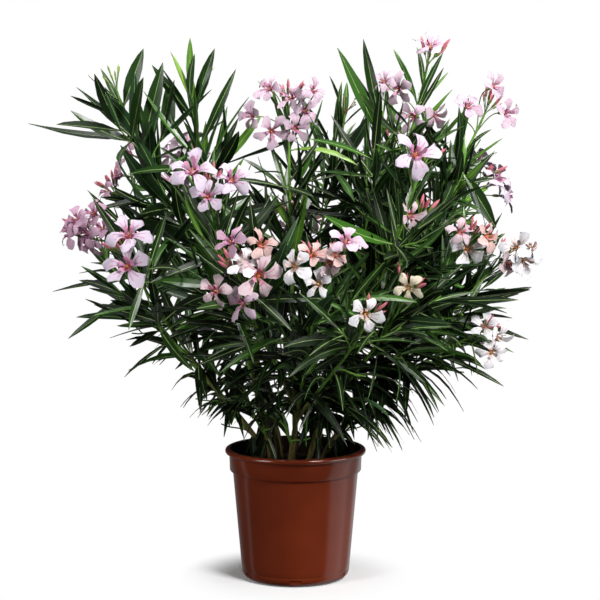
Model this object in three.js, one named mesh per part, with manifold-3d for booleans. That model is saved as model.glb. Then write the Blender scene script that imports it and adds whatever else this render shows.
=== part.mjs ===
// A potted oleander: a shrub of ten stems in a plastic nursery pot, in full flower.
// Millimetres, +Z up, origin at the centre of the pot's flat underside. The plant's best side faces -Y.
//
// Ten bare stems stand on the soil. Each runs on into a leader shoot, and carries boughs that run on into
// shoots of their own. A shoot is one mass of foliage: a three-sided stem that forks, with whorls of three
// long leaves and, at its tip, a head of five-petalled florets. Low shoots hang their leaves round the pot.

import * as THREE from "three";
import { mergeVertices } from "three/addons/utils/BufferGeometryUtils.js";
import Module from "manifold-3d";

const wasm = await Module();
wasm.setup();

// ---------------------------------------------------------------- driving dimensions

const clearance = 0.3; // between solids that touch on the real plant

const pot = {
  height: 222,
  rimRadius: 120,
  rimDepth: 9, // of the rolled rim
  collarRadius: 112, // of the band under the rim
  collarDepth: 38, // from the top of the pot to the step under the band
  shoulderRadius: 107, // just under that step
  footRadius: 92, // where the wall meets the rounded corner
  cornerRadius: 11,
  wall: 2,
  floor: 3,
  drains: 6,
  drainWidth: 15,
  drainHeight: 9,
  segments: 24,
};

const soilTop = 196;

const wood = {
  footRadius: 5.6, // of a stem at the soil
  tipRadius: 1.9, // of any shoot at its tip
  flare: 1.5, // how much wider the very foot is
  flareShare: 0.05, // of the stem's route
  fork: 0.45, // share of the leader's route that is bare stem
  boughShare: 0.38, // share of a bough's route that is bare wood
  boughRadius: 0.75, // of the stem's own radius where the bough leaves it
  forkAngle: 40, // degrees, of a side twig from its shoot
  forkRadius: 0.5, // of the shoot's own radius
  sides: 5,
};

const leaf = {
  length: 145,
  width: 0.165, // of the length
  thickness: 0.016, // of the length
  widest: 0.44, // share of the length
  spacing: 54, // between whorls
  perWhorl: 3,
  foot: 3, // of the twig that a leaf takes up
  scatter: 22, // degrees
  tipAngle: 24, // degrees from the twig, in the last whorl
  rootAngle: 58, // and in the first
};

const floret = {
  petals: 5,
  radius: 26,
  notch: 0.5, // of the radius, between two petals
  depth: 20, // from the petals' rim back to the neck
  throat: 8,
  pedicel: 44, // the stalk and the neck
  stalk: 1.5, // radius
  apart: 1.5, // of the radius, from heart to heart
};
const bud = { length: 24, radius: 3.2 };

// Each stem: its foot on the soil, and its shoots by the point that each one's tip reaches. The first shoot
// is the leader. The others are boughs that leave the leader's route at share `at`. `turn` says how far the
// tip turns up, `florets` counts the open flowers, `facing` is the way that they look, and `cyme` is the
// length of the shoot's end that they stand on, where it isn't the usual one.
const stems = {
  front: {
    foot: [-8, -54],
    shoots: {
      centre: { tip: [34, -262, 548], florets: 6, turn: 0.5, facing: [0.1, -1, 0.3] },
      centre_left: { at: 0.36, tip: [-88, -258, 540], florets: 6, turn: 0.3, facing: [-0.2, -1, 0.2] },
      low_white: { at: 0.33, tip: [112, -262, 470], florets: 2, turn: 0.3, facing: [0.1, -1, 0.1] },
    },
  },
  front_right: {
    foot: [22, -46],
    shoots: {
      big_bloom: { tip: [196, -190, 700], florets: 2, turn: 0.4, facing: [0, -1, 0.2] },
      blush: { at: 0.33, tip: [196, -130, 612], florets: 2, turn: 0.4, facing: [0.1, -1, 0.5] },
      cream: { at: 0.27, tip: [172, -232, 505], florets: 1, turn: 0.4, facing: [0, -1, 0.1] },
    },
  },
  right: {
    foot: [46, -18],
    shoots: {
      far_cluster: { tip: [340, -36, 540], florets: 4, turn: -0.1, facing: [0.8, -0.7, 0.3] },
      low_cluster: { at: 0.38, tip: [300, -70, 425], florets: 3, turn: -0.1, facing: [0.8, -0.7, 0] },
      salmon_white: { at: 0.33, tip: [282, -110, 580], florets: 4, turn: 0.3, facing: [0.3, -1, 0.3] },
    },
  },
  right_high: {
    foot: [34, 14],
    shoots: {
      top_right: { tip: [222, 14, 872], florets: 5, cyme: 95, turn: 0.4, facing: [-0.1, -1, 0.1] },
      spears: { at: 0.35, tip: [146, -20, 792], turn: 0.5 },
      far_top: { at: 0.37, tip: [318, 0, 790], florets: 3, turn: 0.3, facing: [0.4, -0.9, 0.3] },
      arching: { at: 0.3, tip: [276, -70, 690], turn: 0.1 },
    },
  },
  centre: {
    foot: [0, 6],
    shoots: {
      crown: { tip: [-12, -6, 800], florets: 7, turn: 0.4, facing: [0, -1, 0.3] },
      seedheads: { at: 0.4, tip: [86, 96, 790], turn: 0.4 },
    },
  },
  left_high: {
    foot: [-30, 14],
    shoots: {
      young_tips: { tip: [-180, 30, 830], turn: 0.5 },
      top_left: { at: 0.36, tip: [-298, -24, 830], turn: 0.4 },
    },
  },
  front_left: {
    foot: [-40, -38],
    shoots: {
      lilac: { tip: [-134, -236, 664], florets: 3, turn: 0.3, facing: [-0.1, -1, 0.3] },
    },
  },
  left: {
    foot: [-48, -14],
    shoots: {
      far_left: { tip: [-336, -64, 590], florets: 5, turn: 0.3, facing: [-0.7, -0.8, 0.2] },
      left_blooms: { at: 0.4, tip: [-262, -196, 560], florets: 2, turn: 0.3, facing: [0, -1, 0.1] },
    },
  },
  back_left: {
    foot: [-24, 44],
    shoots: {
      rear_left: { tip: [-196, 262, 700], florets: 4, turn: 0.4, facing: [-0.4, 0.9, 0.4] },
      side_left: { at: 0.38, tip: [-316, 120, 650], florets: 3, turn: 0.3, facing: [-0.9, -0.2, 0.4] },
    },
  },
  back_right: {
    foot: [30, 44],
    shoots: {
      rear_right: { tip: [176, 270, 720], florets: 4, turn: 0.4, facing: [0.4, 0.9, 0.4] },
      side_right: { at: 0.4, tip: [326, 140, 672], florets: 2, turn: 0.3, facing: [0.9, 0.1, 0.4] },
      rear: { at: 0.32, tip: [6, 318, 600], florets: 4, turn: 0.4, facing: [0, 1, 0.3] },
    },
  },
};

// Low shoots round the pot: the stem that each one leaves, and its bearing in plan (0 is +X, 90 is +Y).
const skirts = {
  front: -108,
  front_right: -72,
  right: -28,
  back_right: 50,
  back_left: 128,
  left: 172,
  front_left: 236,
};
const skirt = {
  at: 0.2, // share of the stem's route
  reach: 74, // outwards
  lift: 100,
  turn: 0.1,
  leafLength: 122,
  droop: 0.24,
  forks: 1,
  twigLength: 60,
};

// Single leaves that set the outline, each on its shoot: share of the shoot's length, bearing in plan and
// rise above level (degrees), length and sag (below zero it curls up).
const outliers = {
  top_left: [
    [0.75, 181, -2, 178, -0.16],
    [0.72, 180, 42, 137, 0],
    [0.68, 12, 76, 150, 0],
    [0.9, 20, 70, 104, 0],
    [0.45, 178, 2, 118, 0],
  ],
  young_tips: [
    [0.62, 20, 62, 120, 0.02],
    [0.75, 4, 65, 145, 0],
  ],
  spears: [
    [0.95, 175, 57, 125, 0],
    [0.85, 250, 80, 165, 0],
    [0.9, 0, 78, 150, 0],
  ],
  top_right: [[0.78, 8, 60, 98, 0]],
  far_top: [
    [0.55, 2, 11, 90, 0],
    [0.64, -30, 34, 104, 0],
    [0.5, 30, 84, 92, 0],
  ],
  arching: [
    [0.85, -20, 42, 96, 0.5],
    [0.75, -8, 24, 112, 0.9],
  ],
  far_left: [
    [0.75, 180, -4, 112, 0],
    [0.74, 184, -28, 124, 0.08],
    [0.3, 200, -42, 108, 0.2],
  ],
  far_cluster: [[0.6, -4, 14, 112, -0.05]],
  low_cluster: [[0.5, -6, -16, 118, 0.16]],
};

// ---------------------------------------------------------------- small helpers

const up = new THREE.Vector3(0, 0, 1);
const fullTurn = 2 * Math.PI;
const vec = (x, y, z) => new THREE.Vector3(x, y, z);
const radians = THREE.MathUtils.degToRad;
const { lerp, clamp } = THREE.MathUtils;

// Random numbers from 0 to 1: the same seed always grows the same plant.
function dice(seed) {
  let state = seed;
  return () => {
    state = (state * 48271) % 2147483647;
    return state / 2147483647;
  };
}

// A closed skin from its points and the triples of indices that are its faces.
function skin(points, faces) {
  const geometry = new THREE.BufferGeometry().setFromPoints(points);
  geometry.setIndex(faces);
  return geometry;
}

// The closed mesh of a geometry as a manifold solid.
function solid(geometry) {
  const bare = new THREE.BufferGeometry();
  const flat = geometry.index ? geometry.toNonIndexed() : geometry;
  bare.setAttribute("position", flat.getAttribute("position"));
  const merged = mergeVertices(bare, 1e-3);
  const made = new wasm.Manifold(
    new wasm.Mesh({
      numProp: 3,
      vertProperties: merged.attributes.position.array,
      triVerts: new Uint32Array(merged.index.array),
    }),
  );
  if (made.volume() <= 0) throw new Error("a skin's faces point inwards");
  return made;
}

// And back, as a mesh in the scene graph.
function meshOf(made, name, material) {
  const { vertProperties, triVerts } = made.getMesh();
  const geometry = new THREE.BufferGeometry();
  geometry.setAttribute("position", new THREE.BufferAttribute(vertProperties, 3));
  geometry.setIndex(new THREE.BufferAttribute(triVerts, 1));
  const flat = geometry.toNonIndexed();
  flat.computeVertexNormals();
  const mesh = new THREE.Mesh(flat, material);
  mesh.name = name;
  return mesh;
}

// Moves each vertex of a geometry to place(x, y, z).
function reshape(geometry, place) {
  const positions = geometry.getAttribute("position");
  for (let i = 0; i < positions.count; i++) {
    const p = place(positions.getX(i), positions.getY(i), positions.getZ(i));
    positions.setXYZ(i, p.x, p.y, p.z);
  }
  return geometry;
}

// The unit vector with a bearing in plan (0 is +X, 90 is +Y) and a rise above level, both in degrees.
function bearingOf(bearing, rise) {
  const flat = Math.cos(radians(rise));
  return vec(flat * Math.cos(radians(bearing)), flat * Math.sin(radians(bearing)), Math.sin(radians(rise)));
}

// A unit vector at right angles to `along`, turned round it by `angle`.
function sideways(along, angle) {
  const start = Math.abs(along.z) < 0.9 ? up : vec(1, 0, 0);
  const side = vec().crossVectors(along, start).normalize();
  return side.applyAxisAngle(along, angle);
}

// A unit vector that leans from `along` towards `away` by `angle`.
function leaning(along, away, angle) {
  return along.clone().multiplyScalar(Math.cos(angle)).addScaledVector(away, Math.sin(angle));
}

// The frames of a route at the given shares: they turn as little as they can from one to the next.
function framesOf(path, shares) {
  let side = sideways(path.getTangent(shares[0]), 0);
  return shares.map((share) => {
    const along = path.getTangent(share);
    side = side.clone().addScaledVector(along, -side.dot(along)).normalize();
    return { centre: path.getPoint(share), along, side, across: vec().crossVectors(along, side) };
  });
}

// A point at an angle and a radius round a frame's centre.
function around({ centre, side, across }, angle, radius) {
  return centre
    .clone()
    .addScaledVector(side, Math.cos(angle) * radius)
    .addScaledVector(across, Math.sin(angle) * radius);
}

// ---------------------------------------------------------------- limbs

// The route of a limb: it sets out along `heading` for share `lead` of the way, and its tip turns up by
// `turn`.
function route(from, heading, lead, tip, turn) {
  const span = tip.clone().sub(from);
  const reach = span.length();
  const arrival = span.normalize().addScaledVector(up, turn).normalize();
  return new THREE.CubicBezierCurve3(
    from,
    from.clone().addScaledVector(heading, reach * lead),
    tip.clone().addScaledVector(arrival, -0.35 * reach),
    tip,
  );
}

// A cylinder bent along a route from share `start` to share `end`, with its radius as a function of the
// share.
function limb({ path, start, end, radiusAt }, sides, steps, grow) {
  const shares = Array.from({ length: steps + 1 }, (_, i) => lerp(start, end, i / steps));
  const frames = framesOf(path, shares);
  return reshape(new THREE.CylinderGeometry(1, 1, steps, sides, steps), (x, y, z) => {
    const ring = Math.round(y + steps / 2);
    const radius = Math.hypot(x, z) > 0.5 ? radiusAt(shares[ring]) + grow : 0;
    return around(frames[ring], Math.atan2(x, z), radius);
  });
}

// The radius of a stem along its route, with the flare at its foot.
function stemRadius(share) {
  const bare = lerp(wood.footRadius, wood.tipRadius, Math.pow(share, 0.8));
  const near = clamp(1 - share / wood.flareShare, 0, 1);
  return bare * (1 + (wood.flare - 1) * near * near);
}

// ---------------------------------------------------------------- leaves, florets and buds

// The points of a leaf: its root and tip, and at its widest place the two margins and the keel of the midrib.
// `rootShare` leaves out its very root, and `grow` swells it.
function leafPoints({ root, way, face, length, sag }, rootShare = 0, grow = 0) {
  const across = vec().crossVectors(way, face).normalize();
  const normal = vec().crossVectors(across, way).normalize();
  const halfWidth = (length * leaf.width) / 2 + grow;
  const bend = (share) =>
    root
      .clone()
      .addScaledVector(way, length * share)
      .addScaledVector(up, -sag * length * share * share);
  const middle = bend(leaf.widest);
  return {
    across,
    normal,
    root: bend(rootShare),
    left: middle.clone().addScaledVector(across, halfWidth).addScaledVector(normal, grow),
    right: middle.clone().addScaledVector(across, -halfWidth).addScaledVector(normal, grow),
    keel: middle.clone().addScaledVector(normal, -length * leaf.thickness - grow),
    tip: bend(1),
  };
}

// A leaf by itself.
function leafSkin(one) {
  const { root, left, right, keel, tip } = leafPoints(one);
  const faces = [0, 1, 2, 0, 2, 3, 0, 3, 1, 4, 2, 1, 4, 3, 2, 4, 1, 3];
  return skin([root, left, right, keel, tip], faces);
}

// The room that a leaf takes up: the leaf with its clearance, on a foot that is as wide as a twig.
function leafRoom(one, rootShare) {
  const { across, normal, root, left, right, keel, tip } = leafPoints(one, rootShare, 2 * clearance);
  const corners = [1, -1, -1, 1].map((side, i) =>
    root
      .clone()
      .addScaledVector(across, side * leaf.foot * 0.9)
      .addScaledVector(normal, (i < 2 ? 1 : -1) * leaf.foot * 0.6),
  );
  const blade = [1, 0, 4, 1, 4, 5, 3, 2, 6, 0, 3, 6, 0, 6, 4, 1, 6, 2, 1, 5, 6];
  const ends = [5, 4, 7, 4, 6, 7, 5, 7, 6, 0, 1, 2, 0, 2, 3];
  return skin([...corners, left, right, keel, tip], [...blade, ...ends]);
}

// A floret on its stalk: a thin five-sided stalk from `hub` to the neck, which opens into five petals. The
// petals' tips and the notches between them ring the throat, which is pressed in. `grow` swells it.
function floretSkin({ hub, heart, facing, turn, size }, grow = 0) {
  const petals = floret.petals;
  const side = sideways(facing, turn);
  const across = vec().crossVectors(facing, side);
  const ahead = (by) => ({ centre: heart.clone().addScaledVector(facing, by), side, across });
  const points = [hub, ahead(grow - floret.throat * size).centre];
  for (let i = 0; i < petals; i++) {
    const angle = (i / petals) * fullTurn;
    points.push(
      around(ahead(-grow - floret.depth * size), angle, floret.stalk + grow),
      around(ahead(grow), angle, floret.radius * size + grow),
      around(ahead(grow - 2 * size), angle + Math.PI / petals, floret.radius * floret.notch * size + grow),
    );
  }
  const faces = [];
  for (let i = 0; i < petals; i++) {
    const [neck, petal, notch] = [2, 3, 4].map((k) => k + 3 * i);
    const [nextNeck, nextPetal] = [2, 3].map((k) => k + 3 * ((i + 1) % petals));
    faces.push(0, nextNeck, neck, 1, petal, notch, 1, notch, nextPetal);
    faces.push(neck, notch, petal, neck, nextNeck, notch, nextNeck, nextPetal, notch);
  }
  return skin(points, faces);
}

// A bud: a slim leaf shape that is as thick as it is wide. `grow` swells it.
function budSkin({ hub, way, size }, grow = 0) {
  const at = (share) => hub.clone().addScaledVector(way, (bud.length * size + grow) * share);
  const side = sideways(way, 0);
  const middle = { centre: at(0.5), side, across: vec().crossVectors(way, side) };
  const ring = [0, 120, 240].map((degrees) => around(middle, radians(degrees), bud.radius * size + grow));
  return skin([hub, ...ring, at(1)], [0, 2, 1, 0, 3, 2, 0, 1, 3, 4, 1, 2, 4, 2, 3, 4, 3, 1]);
}

// ---------------------------------------------------------------- how a shoot grows

// How many whorls a twig carries.
function whorlCount({ path, start }) {
  return Math.max(2, Math.round(path.getPoint(start).distanceTo(path.getPoint(1)) / leaf.spacing));
}

// The twigs of a shoot: its own stem, and side twigs that fork from it between two whorls and turn up again.
function growTwigs(shoot, random) {
  const { path, start, radiusAt } = shoot;
  const twigs = [{ path, start, end: 1, radiusAt }];
  const whorls = whorlCount(shoot);
  const phase = random() * fullTurn;
  for (let i = 0; i < shoot.forks; i++) {
    const share = lerp(start, 1, (Math.round(whorls * (0.2 + 0.26 * i)) + 0.9) / whorls);
    const from = path.getPoint(share);
    const along = path.getTangent(share);
    const away = sideways(along, phase + i * radians(155));
    const length = shoot.twigLength * (0.85 + 0.3 * random());
    const tip = from.clone().addScaledVector(leaning(along, away, radians(wood.forkAngle)), length);
    const base = radiusAt(share) * wood.forkRadius;
    twigs.push({
      path: route(from, along.clone().lerp(away, 0.4).normalize(), 0.3, tip, 0.25),
      start: 0,
      end: 1,
      radiusAt: (at) => lerp(base, wood.tipRadius * 0.75, at),
    });
  }
  for (const [i, twig] of twigs.entries()) {
    twig.from = twig.start ? twig.start + clearance / twig.path.getLength() : 0;
    twig.whorls = growWhorls(twig, shoot, shoot.seed + 7 * (i + 1));
  }
  return twigs;
}

// The whorls along a twig, each with its three leaves: wide and hanging at the twig's root, steep and short
// at its tip. Each whorl is turned by 60 degrees from the last.
function growWhorls(twig, shoot, seed) {
  const random = dice(seed);
  const count = whorlCount(twig);
  const headed = shoot.florets && twig.path === shoot.path;
  const top = headed ? 1 - (0.5 * shoot.cyme) / (leaf.spacing * count) : 1;
  const ripeness = Array.from({ length: count }, (_, i) => (top * (i + 0.4)) / count);
  const shares = [twig.start, ...ripeness.map((ripe) => lerp(twig.start, 1, ripe))];
  const frames = framesOf(twig.path, shares).slice(1);
  return ripeness.map((ripe, i) => {
    const turn = radians(60 * i);
    const frame = frames[i];
    const leaves = [];
    for (let k = 0; k < leaf.perWhorl; k++) {
      const angle = turn + radians(60 + 120 * k + (random() - 0.5) * leaf.scatter);
      const away = around({ ...frame, centre: vec(0, 0, 0) }, angle, 1);
      const drawnIn = lerp(leaf.rootAngle, leaf.tipAngle, ripe);
      const lean = drawnIn + 22 * shoot.droop + (random() - 0.5) * leaf.scatter;
      const young = 1 - (shoot.florets ? 0.9 : 0.75) * Math.max(0, ripe - 0.5);
      const length = shoot.leafLength * young * (0.84 + 0.3 * random());
      const sag = shoot.droop * (0.6 + 0.8 * random()) * Math.sin(radians(lean));
      const way = leaning(frame.along, away, radians(lean));
      leaves.push({ root: frame.centre, way, face: frame.along, length, sag });
    }
    return { ripe, turn, leaves };
  });
}

// A twig and its leaves in one skin. The twig is three-sided, with two rings close together at each whorl,
// and a leaf stands on each of the three faces between them. The next whorl's faces are turned between
// these. A bare twig has no leaves, and `grow` swells it.
function twigSkin(twig, bare = false, grow = 0) {
  const { whorls } = twig;
  const half = leaf.foot / 2 / twig.path.getLength();
  const places = whorls.map(({ ripe }) => lerp(twig.start, 1, ripe));
  const shares = [twig.from, ...places.flatMap((share) => [share - half, share + half]), 1];
  const turns = [radians(-60), ...whorls.flatMap(({ turn }) => [turn, turn]), radians(60 * whorls.length)];
  const points = framesOf(twig.path, shares).flatMap((frame, i) =>
    [0, 120, 240].map((degrees) =>
      around(frame, turns[i] + radians(degrees), twig.radiusAt(shares[i]) + grow),
    ),
  );
  const faces = [0, 2, 1];
  for (let ring = 0; ring + 1 < shares.length; ring++) {
    const whorl = ring % 2 ? whorls[(ring - 1) / 2] : undefined;
    for (let k = 0; k < 3; k++) {
      const next = (k + 1) % 3;
      const [low, lowNext, high, highNext] = [k, next, k + 3, next + 3].map((corner) => 3 * ring + corner);
      const grown = whorl?.leaves[k];
      if (bare || !grown) {
        faces.push(low, lowNext, high, lowNext, highNext, high);
        continue;
      }
      const [left, right, keel, tip] = [0, 1, 2, 3].map((n) => points.length + n);
      const shape = leafPoints(grown);
      points.push(shape.left, shape.right, shape.keel, shape.tip);
      faces.push(low, lowNext, keel, keel, lowNext, right, right, lowNext, highNext, right, highNext, high);
      faces.push(right, high, left, left, high, low, left, low, keel);
      faces.push(keel, right, tip, right, left, tip, left, keel, tip);
    }
  }
  const last = 3 * (shares.length - 1);
  faces.push(last, last + 1, last + 2);
  return skin(points, faces);
}

// The leaves of a shoot that are set one by one.
function outlyingLeaves(shoot) {
  return (outliers[shoot.name] ?? []).map(([at, bearing, rise, length, sag]) => {
    const way = bearingOf(bearing, rise);
    const face = Math.abs(way.z) > 0.8 ? vec(0, -1, 0.2).normalize() : vec(0, -0.35, 1).normalize();
    return { root: shoot.path.getPoint(lerp(shoot.start, 1, at)), way, face, length, sag };
  });
}

// The florets of a head: each on its own stalk from the end of the shoot, fanned out round the way that the
// head faces, with their hearts some way apart. Each is the first of some tries that `fits`.
function growHead(shoot, random, fits) {
  const { facing, florets, cyme, path } = shoot;
  const head = [];
  for (let i = 0; i < florets; i++) {
    const below = (cyme * (florets - 1 - i)) / Math.max(1, florets - 1) + 3;
    const hub = path.getPoint(1 - below / path.getLength());
    for (let attempt = 0; attempt < 24; attempt++) {
      const spread = (florets > 1 ? 1.35 : 0.3) * Math.sqrt(random());
      const way = leaning(facing, sideways(facing, random() * fullTurn), spread);
      const size = 0.86 + 0.34 * random();
      const heart = hub.clone().addScaledVector(way, floret.pedicel * (0.85 + 0.4 * random()));
      const one = { hub, heart, facing: way.lerp(facing, 0.55).normalize(), turn: random() * 2, size };
      if (head.some((other) => other.heart.distanceTo(heart) < floret.apart * floret.radius)) continue;
      if (!fits(one)) continue;
      head.push(one);
      break;
    }
  }
  return head;
}

// A bud or so stands up at the tip of a flowering shoot.
function growBuds(shoot, random) {
  const along = shoot.path.getTangent(1);
  const hub = shoot.path.getPoint(1).addScaledVector(along, -1);
  return Array.from({ length: shoot.buds }, (_, i) => {
    const away = sideways(along, i * radians(137.5) + random());
    const way = along.clone().addScaledVector(away, 0.25 + 0.35 * random()).normalize();
    return { hub, way, size: 0.9 + 0.4 * random() };
  });
}

// ---------------------------------------------------------------- the plant's limbs and shoots

// Every bare limb and every shoot, each with its route and radius, from the tables above.
function layOut() {
  const limbs = [];
  const shoots = [];
  const addShoot = (name, carrier, path, start, radiusAt, given) => {
    const height = path.getPoint(1).z;
    const florets = given.florets ?? 0;
    shoots.push({
      name,
      carrier,
      path,
      start,
      radiusAt,
      florets,
      droop: given.droop ?? clamp(0.5 - (height - 260) / 620, 0.03, 0.5),
      leafLength: given.leafLength ?? leaf.length,
      forks: given.forks ?? 2,
      twigLength: given.twigLength ?? 95,
      cyme: given.cyme ?? 7 * florets,
      buds: florets ? 1 : 0,
      facing: vec(...(given.facing ?? [0, -0.5, 1])).normalize(),
      seed: 1009 + 37 * shoots.length,
    });
  };
  for (const [stemName, { foot, shoots: own }] of Object.entries(stems)) {
    const [[leaderName, leader], ...boughs] = Object.entries(own);
    const stem = "stem_" + stemName;
    const path = route(vec(...foot, soilTop + clearance), up, 0.12, vec(...leader.tip), leader.turn);
    limbs.push({ name: stem, path, start: 0, end: wood.fork, radiusAt: stemRadius });
    addShoot(leaderName, stem, path, wood.fork, stemRadius, leader);
    for (const [name, given] of boughs) {
      const from = path.getPoint(given.at);
      const tip = vec(...given.tip);
      const heading = path.getTangent(given.at).lerp(tip.clone().sub(from).normalize(), 0.6).normalize();
      const branch = route(from, heading, 0.25, tip, given.turn);
      const base = stemRadius(given.at) * wood.boughRadius;
      const radiusAt = (share) => lerp(base, wood.tipRadius, share);
      const bough = "bough_" + name;
      limbs.push({ name: bough, carrier: stem, path: branch, start: 0, end: wood.boughShare, radiusAt });
      addShoot(name, bough, branch, wood.boughShare, radiusAt, given);
    }
    if (!(stemName in skirts)) continue;
    const from = path.getPoint(skirt.at);
    const out = bearingOf(skirts[stemName], 0);
    const tip = from.clone().addScaledVector(out, skirt.reach).addScaledVector(up, skirt.lift);
    const branch = route(from, out.addScaledVector(up, 0.6).normalize(), 0.3, tip, skirt.turn);
    const base = stemRadius(skirt.at) * 0.55;
    addShoot("skirt_" + stemName, stem, branch, 0, (share) => lerp(base, wood.tipRadius * 0.9, share), skirt);
  }
  return { limbs, shoots };
}

// ---------------------------------------------------------------- pot and soil

// The radius of the pot's outer wall at a height under the collar.
function wallRadius(z) {
  const { footRadius, shoulderRadius, cornerRadius, height, collarDepth } = pot;
  return lerp(footRadius, shoulderRadius, (z - cornerRadius) / (height - collarDepth - cornerRadius));
}

// A profile of [radius, height] pairs, turned round the pot's axis.
function turned(profile) {
  const points = profile.map(([r, z]) => new THREE.Vector2(r, z));
  return solid(new THREE.LatheGeometry(points, pot.segments).rotateX(Math.PI / 2));
}

// Part of a round edge, as pairs for a profile.
function rounded(centreRadius, centreHeight, radius, angles) {
  return angles.map((degrees) => [
    centreRadius + radius * Math.cos(radians(degrees)),
    centreHeight + radius * Math.sin(radians(degrees)),
  ]);
}

function potSolid() {
  const { height, rimRadius, rimDepth, collarRadius, shoulderRadius, footRadius, cornerRadius, wall } = pot;
  const step = height - pot.collarDepth;
  const roll = rimDepth / 2;
  const shell = turned([
    [0, 0],
    ...rounded(footRadius - cornerRadius, cornerRadius, cornerRadius, [-90, -45, 0]),
    [shoulderRadius, step],
    [collarRadius, step + 1],
    [collarRadius + 1, height - rimDepth],
    ...rounded(rimRadius - roll, height - roll, roll, [-60, 0, 60]),
    [collarRadius - 0.5, height],
    [collarRadius - wall, height - wall],
    [collarRadius - wall - 0.5, step + 3],
    [shoulderRadius - wall, step - 1],
    [footRadius - wall, cornerRadius],
    [footRadius - cornerRadius, pot.floor],
    [0, pot.floor],
  ]);
  const drains = Array.from({ length: pot.drains }, (_, i) => {
    const hole = new THREE.BoxGeometry(16, pot.drainWidth, pot.drainHeight);
    hole.translate(footRadius, 0, pot.drainHeight / 2 + pot.floor + 1);
    hole.rotateZ((i / pot.drains) * fullTurn - Math.PI / 2);
    return solid(hole);
  });
  return shell.subtract(wasm.Manifold.union(drains));
}

function soilSolid() {
  const inner = (z) => wallRadius(z) - pot.wall - clearance;
  const shoulder = pot.height - pot.collarDepth - 6;
  return turned([
    [0, pot.floor + clearance],
    [pot.footRadius - pot.cornerRadius - 1, pot.floor + clearance],
    [inner(pot.cornerRadius) - 0.6, pot.cornerRadius + 1],
    [inner(shoulder), shoulder],
    [inner(shoulder), soilTop - 4],
    [pot.shoulderRadius - 12, soilTop],
    [0, soilTop],
  ]);
}

// ---------------------------------------------------------------- putting it together

const materials = {
  plastic: new THREE.MeshStandardMaterial({ color: "#6e2c1d", roughness: 0.35, metalness: 0 }),
  soil: new THREE.MeshStandardMaterial({ color: "#1d1512", roughness: 0.95, metalness: 0 }),
  bark: new THREE.MeshStandardMaterial({ color: "#5d6136", roughness: 0.8, metalness: 0 }),
  foliage: new THREE.MeshStandardMaterial({ color: "#1e3a1c", roughness: 0.5, metalness: 0 }),
};

// What already stands in the plant's space, so that nothing new runs into it.
class Occupied {
  items = [];

  add(made, owner) {
    this.items.push({ made, owner, box: made.boundingBox() });
  }

  // What a solid meets here that doesn't belong to the `exempt` owner.
  met(made, exempt) {
    const box = made.boundingBox();
    const near = (other) => [0, 1, 2].every((i) => box.min[i] < other.max[i] && other.min[i] < box.max[i]);
    return this.items
      .filter((item) => item.owner !== exempt && near(item.box) && !made.intersect(item.made).isEmpty())
      .map((item) => item.made);
  }

  blocks(made, exempt) {
    return this.met(made, exempt).length > 0;
  }
}

// The main body of a solid, without any scrap that a cut has left loose.
function largest(made) {
  return made.decompose().reduce((best, body) => (body.volume() > best.volume() ? body : best));
}

const group = new THREE.Group();
const { limbs, shoots } = layOut();
const occupied = new Occupied();

for (const [name, made] of Object.entries({ pot: potSolid(), soil: soilSolid() })) {
  occupied.add(made, name);
  group.add(meshOf(made, name, name === "pot" ? materials.plastic : materials.soil));
}

// Each limb is cut clear of the stem that carries it, and keeps its clearance to all that comes later.
const swollen = {};
for (const one of limbs) {
  const steps = one.carrier ? 3 : 4;
  swollen[one.name] = solid(limb(one, wood.sides, steps, clearance));
  const bare = solid(limb(one, wood.sides, steps, 0));
  const made = one.carrier ? largest(bare.subtract(swollen[one.carrier])) : bare;
  occupied.add(swollen[one.name], one.name);
  group.add(meshOf(made, one.name, materials.bark));
}

// Takes room for a bare twig of a shoot, unless something stands there that isn't the `exempt` owner's.
function takeRoom(shoot, twig, exempt) {
  const probe = solid(twigSkin(twig, true, 2 * clearance));
  if (occupied.blocks(probe, exempt)) return false;
  occupied.add(probe, shoot.name);
  shoot.own.add(solid(twigSkin(twig, true)), twig);
  return true;
}

// The same for a floret or a bud, which doesn't run into the rest of its head either.
function takeHeadRoom(shoot, probe) {
  if (occupied.blocks(probe, shoot.name) || shoot.head.blocks(probe)) return false;
  occupied.add(probe, shoot.name);
  shoot.head.add(probe);
  return true;
}

// The stems of all the shoots come first, then their side twigs and heads, and then their leaves find room
// among them. Each shoot starts clear of the limb that it runs on from, and is cut back where it still
// touches others.
for (const shoot of shoots) {
  shoot.own = new Occupied();
  shoot.head = new Occupied();
  shoot.random = dice(shoot.seed);
  shoot.twigs = growTwigs(shoot, shoot.random);
  if (!takeRoom(shoot, shoot.twigs[0], shoot.carrier)) throw new Error(shoot.name + " has no room");
}

for (const shoot of shoots) {
  shoot.twigs = shoot.twigs.filter((twig, i) => i === 0 || takeRoom(shoot, twig, shoot.name));
  const floretFits = (one) => takeHeadRoom(shoot, solid(floretSkin(one, 2 * clearance)));
  const budFits = (one) => takeHeadRoom(shoot, solid(budSkin(one, 2 * clearance)));
  const florets = growHead(shoot, shoot.random, floretFits);
  const buds = growBuds(shoot, shoot.random).filter(budFits);
  shoot.blossom = [...florets.map((one) => floretSkin(one)), ...buds.map((one) => budSkin(one))].map(solid);
}

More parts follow.
